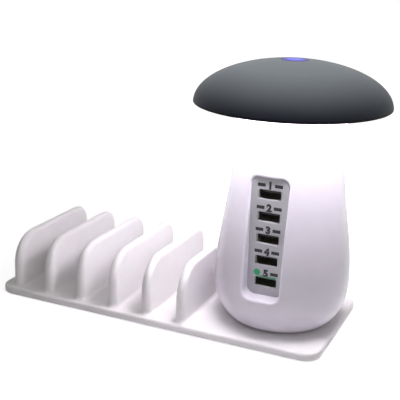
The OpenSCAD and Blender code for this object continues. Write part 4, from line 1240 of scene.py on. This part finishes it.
def printed(name, thick, thin):
    """Ink film: one noise gives both its thickness, seen as two close colours, and its relief."""
    material, tree, place = start(name, thick)
    film = add(tree, "TexNoise", {"Vector": place, "Scale": per_mm(FILM_MM), "Detail": 2.0})
    close(tree, {"Base Color": two_tone(tree, film, thick, thin), "IOR": 1.50,
                 **feel(tree, film, (0.40, 0.55), film, 0.005)})
    return material


# Silver grey paint: a satin film with a faint glitter
PANEL_PAINT = sprayed("polycarbonate, sprayed silver grey", "#AAAAAF", "#B6B6BB", 0.15)
# Ink, screen printed: flat and slightly mottled, dark for the marks and green for the fast socket's
# spot; the green line over its mouth is a painted glint
DARK_INK = printed("ink, screen printed, dark", "#1C1B22", "#24232B")
GREEN_INK_AND_GLINT = printed("green ink and painted glint", "#2E9A63", "#38A56E")
print("panel:", [m.name for m in (PANEL_PAINT, DARK_INK, GREEN_INK_AND_GLINT)])

# %% [markdown]
# ## Lamp: opal ring and lit lens
#
# The ring under the cap is opal polycarbonate with white chips behind it. It spreads their light,
# but each chip still shows as a slightly brighter patch: the angle round the axis, times the
# number of chips, goes through a cosine. The lens on top is clear plastic over a violet-blue
# light. Its middle glows palest, because the light stands right below it.

# %% Lit plastics
CHIP_COUNT = 24
RIPPLE = 0.06
RING_STRENGTH = 17.4
LENS_STRENGTH = 0.55
LENS_SPAN = (0.2 * LENS_R * MM, 0.85 * LENS_R * MM)


def opal(name, light, strength):
    """Strength is 1 + ripple cos(chips times angle), times the plain strength."""
    material, tree, place = start(name, light)
    middle = add(tree, "Mapping", {"Vector": place, "Location": to_axis(RIM_Z)})
    parts = add(tree, "SeparateXYZ", {"Vector": middle}).outputs
    angle = add(tree, "Math", {"Value": parts["Y"], "Value_001": parts["X"]}, operation="ARCTAN2")
    turns = add(tree, "Math", {"Value": angle, "Value_001": CHIP_COUNT}, operation="MULTIPLY")
    wave = add(tree, "Math", {"Value": turns}, operation="COSINE")
    glow = add(tree, "MapRange", {"Value": wave, "From Min": -1.0,
                                  "To Min": (1 - RIPPLE) * strength,
                                  "To Max": (1 + RIPPLE) * strength})
    haze = add(tree, "TexNoise", {"Vector": place, "Scale": per_mm(SHINE_MM), "Detail": 2.0})
    shine = add(tree, "MapRange", {"Value": haze, "To Min": 0.30, "To Max": 0.50})
    close(tree, {"Base Color": "#F2F2F4", "Roughness": shine, "IOR": 1.58,
                 "Emission Color": light, "Emission Strength": glow})
    return material


def lit_lens(name, edge, centre, strength):
    """Colour goes from the centre's to the edge's with the distance from the axis."""
    material, tree, place = start(name, edge)
    middle = add(tree, "Mapping", {"Vector": place, "Location": to_axis(DOME_TOP_Z)})
    away = add(tree, "VectorMath", {"Vector": middle}, operation="LENGTH")
    colour = two_tone(tree, away.outputs["Value"], centre, edge, LENS_SPAN)
    haze = add(tree, "TexNoise", {"Vector": place, "Scale": per_mm(SHINE_MM), "Detail": 2.0})
    shine = add(tree, "MapRange", {"Value": haze, "To Min": 0.30, "To Max": 0.40})
    close(tree, {"Base Color": colour, "Roughness": shine, "IOR": 1.58, "Specular IOR Level": 0.1,
                 "Emission Color": colour, "Emission Strength": strength})
    return material


# Opal polycarbonate: milky, and lit from behind, so it is the brightest thing on the object
OPAL = opal("polycarbonate, opal, lit white", "#FFF8FF", RING_STRENGTH)
# Clear polycarbonate over a violet-blue light: a soft glow that is dark at its edge
LENS_LIT = lit_lens("polycarbonate, clear, lit violet-blue", "#2C2478", "#6264FF", LENS_STRENGTH)
print("ring of", CHIP_COUNT, "chips, strength", RING_STRENGTH)

# %% [markdown]
# ## Metals
#
# A metal's colour is the colour of its reflection. Rolled sheet, drawn wire and extruded
# bar show fine lines along the way that they were pulled, and plating adds a faint cloud.
# The lines are noise that a Mapping node squeezes along one axis.

# %% Metals
CLOUD_MM = 2.0


def pulled_metal(name, first, second, rough, line, squeeze, depth, more={}):
    """Metal with lines so many mm wide, which run along the axis whose scale is small."""
    material, tree, place = start(name, first)
    along = add(tree, "Mapping", {"Vector": place, "Scale": squeeze})
    lines = add(tree, "TexNoise", {"Vector": along, "Scale": per_mm(line), "Detail": 3.0})
    cloud = add(tree, "TexNoise", {"Vector": place, "Scale": per_mm(CLOUD_MM), "Detail": 3.0})
    close(tree, {"Base Color": two_tone(tree, cloud, first, second), "Metallic": 1.0,
                 **feel(tree, lines, rough, lines, depth), **more})
    return material


ALONG_Y, ALONG_Z, NO_WAY = (1, 0.05, 1), (1, 1, 0.05), (1, 1, 1)
# Nickel plate on the sockets' rolled steel and on the inlet's brass pins: warm, bright, fine lines
NICKEL = pulled_metal("steel sheet, nickel plated", "#C9C6C0", "#BDBAB4", (0.29, 0.38),
                      0.15, ALONG_Y, 0.004)
PIN_NICKEL = pulled_metal("brass, nickel plated", "#CFCBC2", "#C4C0B6", (0.29, 0.35),
                          0.15, ALONG_Y, 0.003)
# A flash of gold on the contacts' bronze: yellow with crisp highlights
GOLD = pulled_metal("bronze leaf, gold plated", "#E3B95A", "#D9AD4C", (0.29, 0.36),
                    0.12, ALONG_Y, 0.003)
# Zinc on the screws: bluish grey and cloudy
ZINC = pulled_metal("steel, zinc plated", "#A6A7AA", "#95979C", (0.32, 0.45), 0.5, NO_WAY, 0.006)
# Extruded aluminium of the heat sink: pale, with lines along the fins
ALUMINIUM = pulled_metal("aluminium, extruded", "#C8C9CC", "#BDBEC2", (0.30, 0.42),
                         0.2, ALONG_Z, 0.006)
# Spring wire, drawn and plated: smooth and bright
SPRING_WIRE = pulled_metal("spring wire, drawn", "#B9BABD", "#ABACAF", (0.29, 0.36),
                           0.1, NO_WAY, 0.002)
# Copper wire under clear enamel: reddish, with a glossy coat
COPPER = pulled_metal("copper wire, enamelled", "#B5642E", "#A95723", (0.29, 0.38),
                      0.45, NO_WAY, 0.03, {"Coat Weight": 0.6, "Coat Roughness": 0.15})
print("metals:", [m.name for m in (NICKEL, GOLD, ZINC, ALUMINIUM, COPPER)])

# %% [markdown]
# ## Circuit boards
#
# A board is woven glass in resin under a coloured lacquer. Copper tracks show through the
# lacquer as paler straight lines, so the joints of a brick pattern stand for them. The weave
# of the glass is a fine relief. The ring board is white, to throw the chips' light down.

# %% Boards
TRACK_PITCH_MM = 8.0
WEAVE_MM = 0.5
TRACK_SHARE = 0.03


def laminate(name, lacquer, track):
    """Lacquered board: the joints of a brick pattern are tracks, and fine noise is the weave."""
    material, tree, place = start(name, lacquer)
    tracks = add(tree, "TexBrick", {"Vector": place, "Scale": per_mm(TRACK_PITCH_MM),
                                    "Mortar Size": TRACK_SHARE, "Color1": lacquer,
                                    "Color2": lacquer, "Mortar": track})
    weave = add(tree, "TexNoise", {"Vector": place, "Scale": per_mm(WEAVE_MM), "Detail": 1.0})
    close(tree, {"Base Color": tracks, "IOR": 1.55, "Coat Weight": 0.4, "Coat Roughness": 0.2,
                 **feel(tree, weave, (0.30, 0.42), weave, 0.01)})
    return material


# Glass laminate under green lacquer: a glossy dark green with paler tracks, or white for the ring
GREEN_BOARD = laminate("glass laminate, green lacquer", "#1F6B3A", "#4C9A5E")
WHITE_BOARD = laminate("glass laminate, white lacquer", "#E8E8E2", "#D2D2CA")
print("boards:", [m.name for m in (GREEN_BOARD, WHITE_BOARD)])

# %% [markdown]
# ## Giving each piece its finish
#
# New pieces take the place of the plain solids and ride on the one body. The other nodes
# keep their own shape and only get a material.

# %% Dress the pieces
BODY = next(iter(frame["bodies"]))


def dress(piece, material, slot, *replaced):
    """Give a piece its material, let it stand for CAD nodes, and ride it on the body; slot is not
    used.
    """
    piece.data.materials.clear()
    piece.data.materials.append(material)
    if replaced:
        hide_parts(*replaced)
    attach(piece, BODY)


dress(tower, TOWER_ABS, "tower_plastic", "body_shell")
dress(rack, RACK_ABS, "rack_plastic", "rack")
dress(cap, CAP_COAT_SHADED, "cap_plastic", "cap_shell")
dress(lens, LENS_LIT, "lens_plastic", "touch_lens")
dress(panel, PANEL_PAINT, "panel_plastic", "port_panel")
for number, foot in enumerate(feet, start=1):
    dress(foot, RUBBER, "foot_rubber", f"foot_{number}")
for mark in (*digits, mark_bars):
    dress(mark, DARK_INK, "panel_plastic")
dress(mark_spot_and_glint, GREEN_INK_AND_GLINT, "panel_plastic")

FINISHES = {
    "base_cover": COVER_ABS, "socket_board": GREEN_BOARD, "mains_board": GREEN_BOARD,
    "control_board": GREEN_BOARD, "ring_board": WHITE_BOARD, "board_header": THERMOSET,
    "ac_inlet": THERMOSET, "inlet_pins": PIN_NICKEL, "fuse": GLASS, "bridge_rectifier": THERMOSET,
    "smoothing_capacitor": SLEEVE, "transformer_core": FERRITE, "transformer_bobbin": TAPE,
    "heat_sink": ALUMINIUM, "choke": COPPER, "output_capacitors": THERMOSET,
    "lamp_frame": COVER_ABS, "light_chips": PHOSPHOR, "diffuser": OPAL,
    "touch_spring": SPRING_WIRE, "touch_light": BLUE_RESIN, "lamp_leads": RED_PVC,
    "ring_leads": BLACK_PVC}
for place in ("rack", "cover", "mains", "socket", "frame"):
    FINISHES[f"{place}_screws"] = ZINC
for number in range(1, PORT_COUNT + 1):
    FINISHES[f"usb_shell_{number}"] = NICKEL
    FINISHES[f"usb_contacts_{number}"] = GOLD
    FINISHES[f"usb_tongue_{number}"] = GREEN_NYLON if number == PORT_COUNT else BLACK_NYLON
for name, material in FINISHES.items():
    nodes[name].data.materials.clear()
    nodes[name].data.materials.append(material)
bare = [name for name, node in nodes.items() if not node.hide_render and name not in FINISHES]
print("nodes with a finish:", len(FINISHES), "without:", bare)

# %% [markdown]
# ## Floor, backdrop and light
#
# The photograph is a product shot on plain white. The floor is a pale diffuse sheet. For what
# the camera, a mirror or glass sees, a little glow is added to it, so that it reads as white
# but still keeps a soft shadow. The world is white to those rays and a dim grey to the rest, so
# the object itself is lit only by soft panels and by its own lamp. That lamp lights the plate and
# the tower but not the top of the cap, so one small panel hangs close over the cap. Its light
# falls off quickly, and so the cap shows its own grey while the plate stays below white.

# %% Floor
FLOOR_HALF = 3.0
FLOOR_HEX = "#E6E6E8"
FLOOR_GLOW = (0.79, 1.0)
GLOW_REACH = (0.2, 0.5)


def sees_white(tree):
    """1 for camera, glossy and transmission rays, which are to meet a white background."""
    path = add(tree, "LightPath", {}).outputs
    seen = path["Is Camera Ray"]
    for ray in ("Is Glossy Ray", "Is Transmission Ray"):
        seen = add(tree, "Math", {"Value": seen, "Value_001": path[ray]}, operation="MAXIMUM")
    return seen


def make_floor():
    """Square sheet at height zero: matt paper, plus a little glow for the rays that see white."""
    mesh = bpy.data.meshes.new("floor")
    corners = np.array([(-1, -1, 0), (1, -1, 0), (1, 1, 0), (-1, 1, 0)]) * FLOOR_HALF
    mesh.from_pydata(corners.tolist(), [], [(0, 1, 2, 3)])
    floor = put("floor", mesh)
    material = bpy.data.materials.new("paper, matt, white")
    mesh.materials.append(material)
    tree = bare_tree(material)
    paper = add(tree, "BsdfDiffuse", {"Color": FLOOR_HEX})
    place = add(tree, "TexCoord", {}).outputs["Object"]
    away = add(tree, "VectorMath", {"Vector": place}, operation="LENGTH").outputs["Value"]
    level = add(tree, "MapRange", {"Value": away, "From Min": GLOW_REACH[0],
                                   "From Max": GLOW_REACH[1], "To Min": FLOOR_GLOW[0],
                                   "To Max": FLOOR_GLOW[1]})
    glow = add(tree, "Emission", {"Color": "#FFFFFF", "Strength": level})
    both = add(tree, "AddShader", {"Shader": paper, "Shader_001": glow})
    surface = add(tree, "MixShader", {"Fac": sees_white(tree), "Shader": paper, "Shader_001": both})
    add(tree, "OutputMaterial", {"Surface": surface})
    return floor


make_floor()
print("floor glow from", FLOOR_GLOW[0], "to", FLOOR_GLOW[1])

# %% World
AMBIENT_HEX = "#FFFAF2"
AMBIENT = 0.12


def make_world():
    """White for the rays that see the background, dim and slightly warm for the rest."""
    world = bpy.data.worlds.new("studio")
    tree = bare_tree(world)
    dim = add(tree, "Background", {"Color": AMBIENT_HEX, "Strength": AMBIENT})
    white = add(tree, "Background", {"Color": "#FFFFFF", "Strength": 1.0})
    surface = add(tree, "MixShader", {"Fac": sees_white(tree), "Shader": dim, "Shader_001": white})
    add(tree, "OutputWorld", {"Surface": surface})
    return world


bpy.context.scene.world = make_world()
print("strength of the dim world:", AMBIENT)

# %% Lamps
OBJECT_AIM = Vector((0.02, 0.0, 0.07))
OBJECT_DISTANCE = 1.7
CAP_AIM = Vector((TOWER_X * MM, 0.0, 0.12))
CAP_DISTANCE = 0.15


def softbox(name, aim, distance, azimuth, elevation, size, watts):
    """Square panel of light that faces its aim: azimuth 0 is in front of it, 90 on its right."""
    away = seen_from(math.radians(azimuth), math.radians(elevation))
    data = bpy.data.lights.new(name, "AREA")
    data.shape, data.size, data.energy = "SQUARE", size, watts
    lamp = put(name, data)
    lamp.location = aim + distance * away
    lamp.rotation_euler = (-away).to_track_quat("-Z", "Y").to_euler()


softbox("cap_panel", CAP_AIM, CAP_DISTANCE, azimuth=0, elevation=80, size=0.18, watts=0.13)
softbox("right_panel", OBJECT_AIM, OBJECT_DISTANCE, azimuth=50, elevation=40, size=1.0, watts=2.4)
softbox("left_panel", OBJECT_AIM, OBJECT_DISTANCE, azimuth=-50, elevation=45, size=1.0, watts=1.2)

# %% [markdown]
# ## Finish
#
# Nothing that was added may reach outside it. The last step sets the view transform to
# Standard, so that a colour shows as it is written.

# %% Finish
bpy.context.scene.view_settings.view_transform = "Standard"
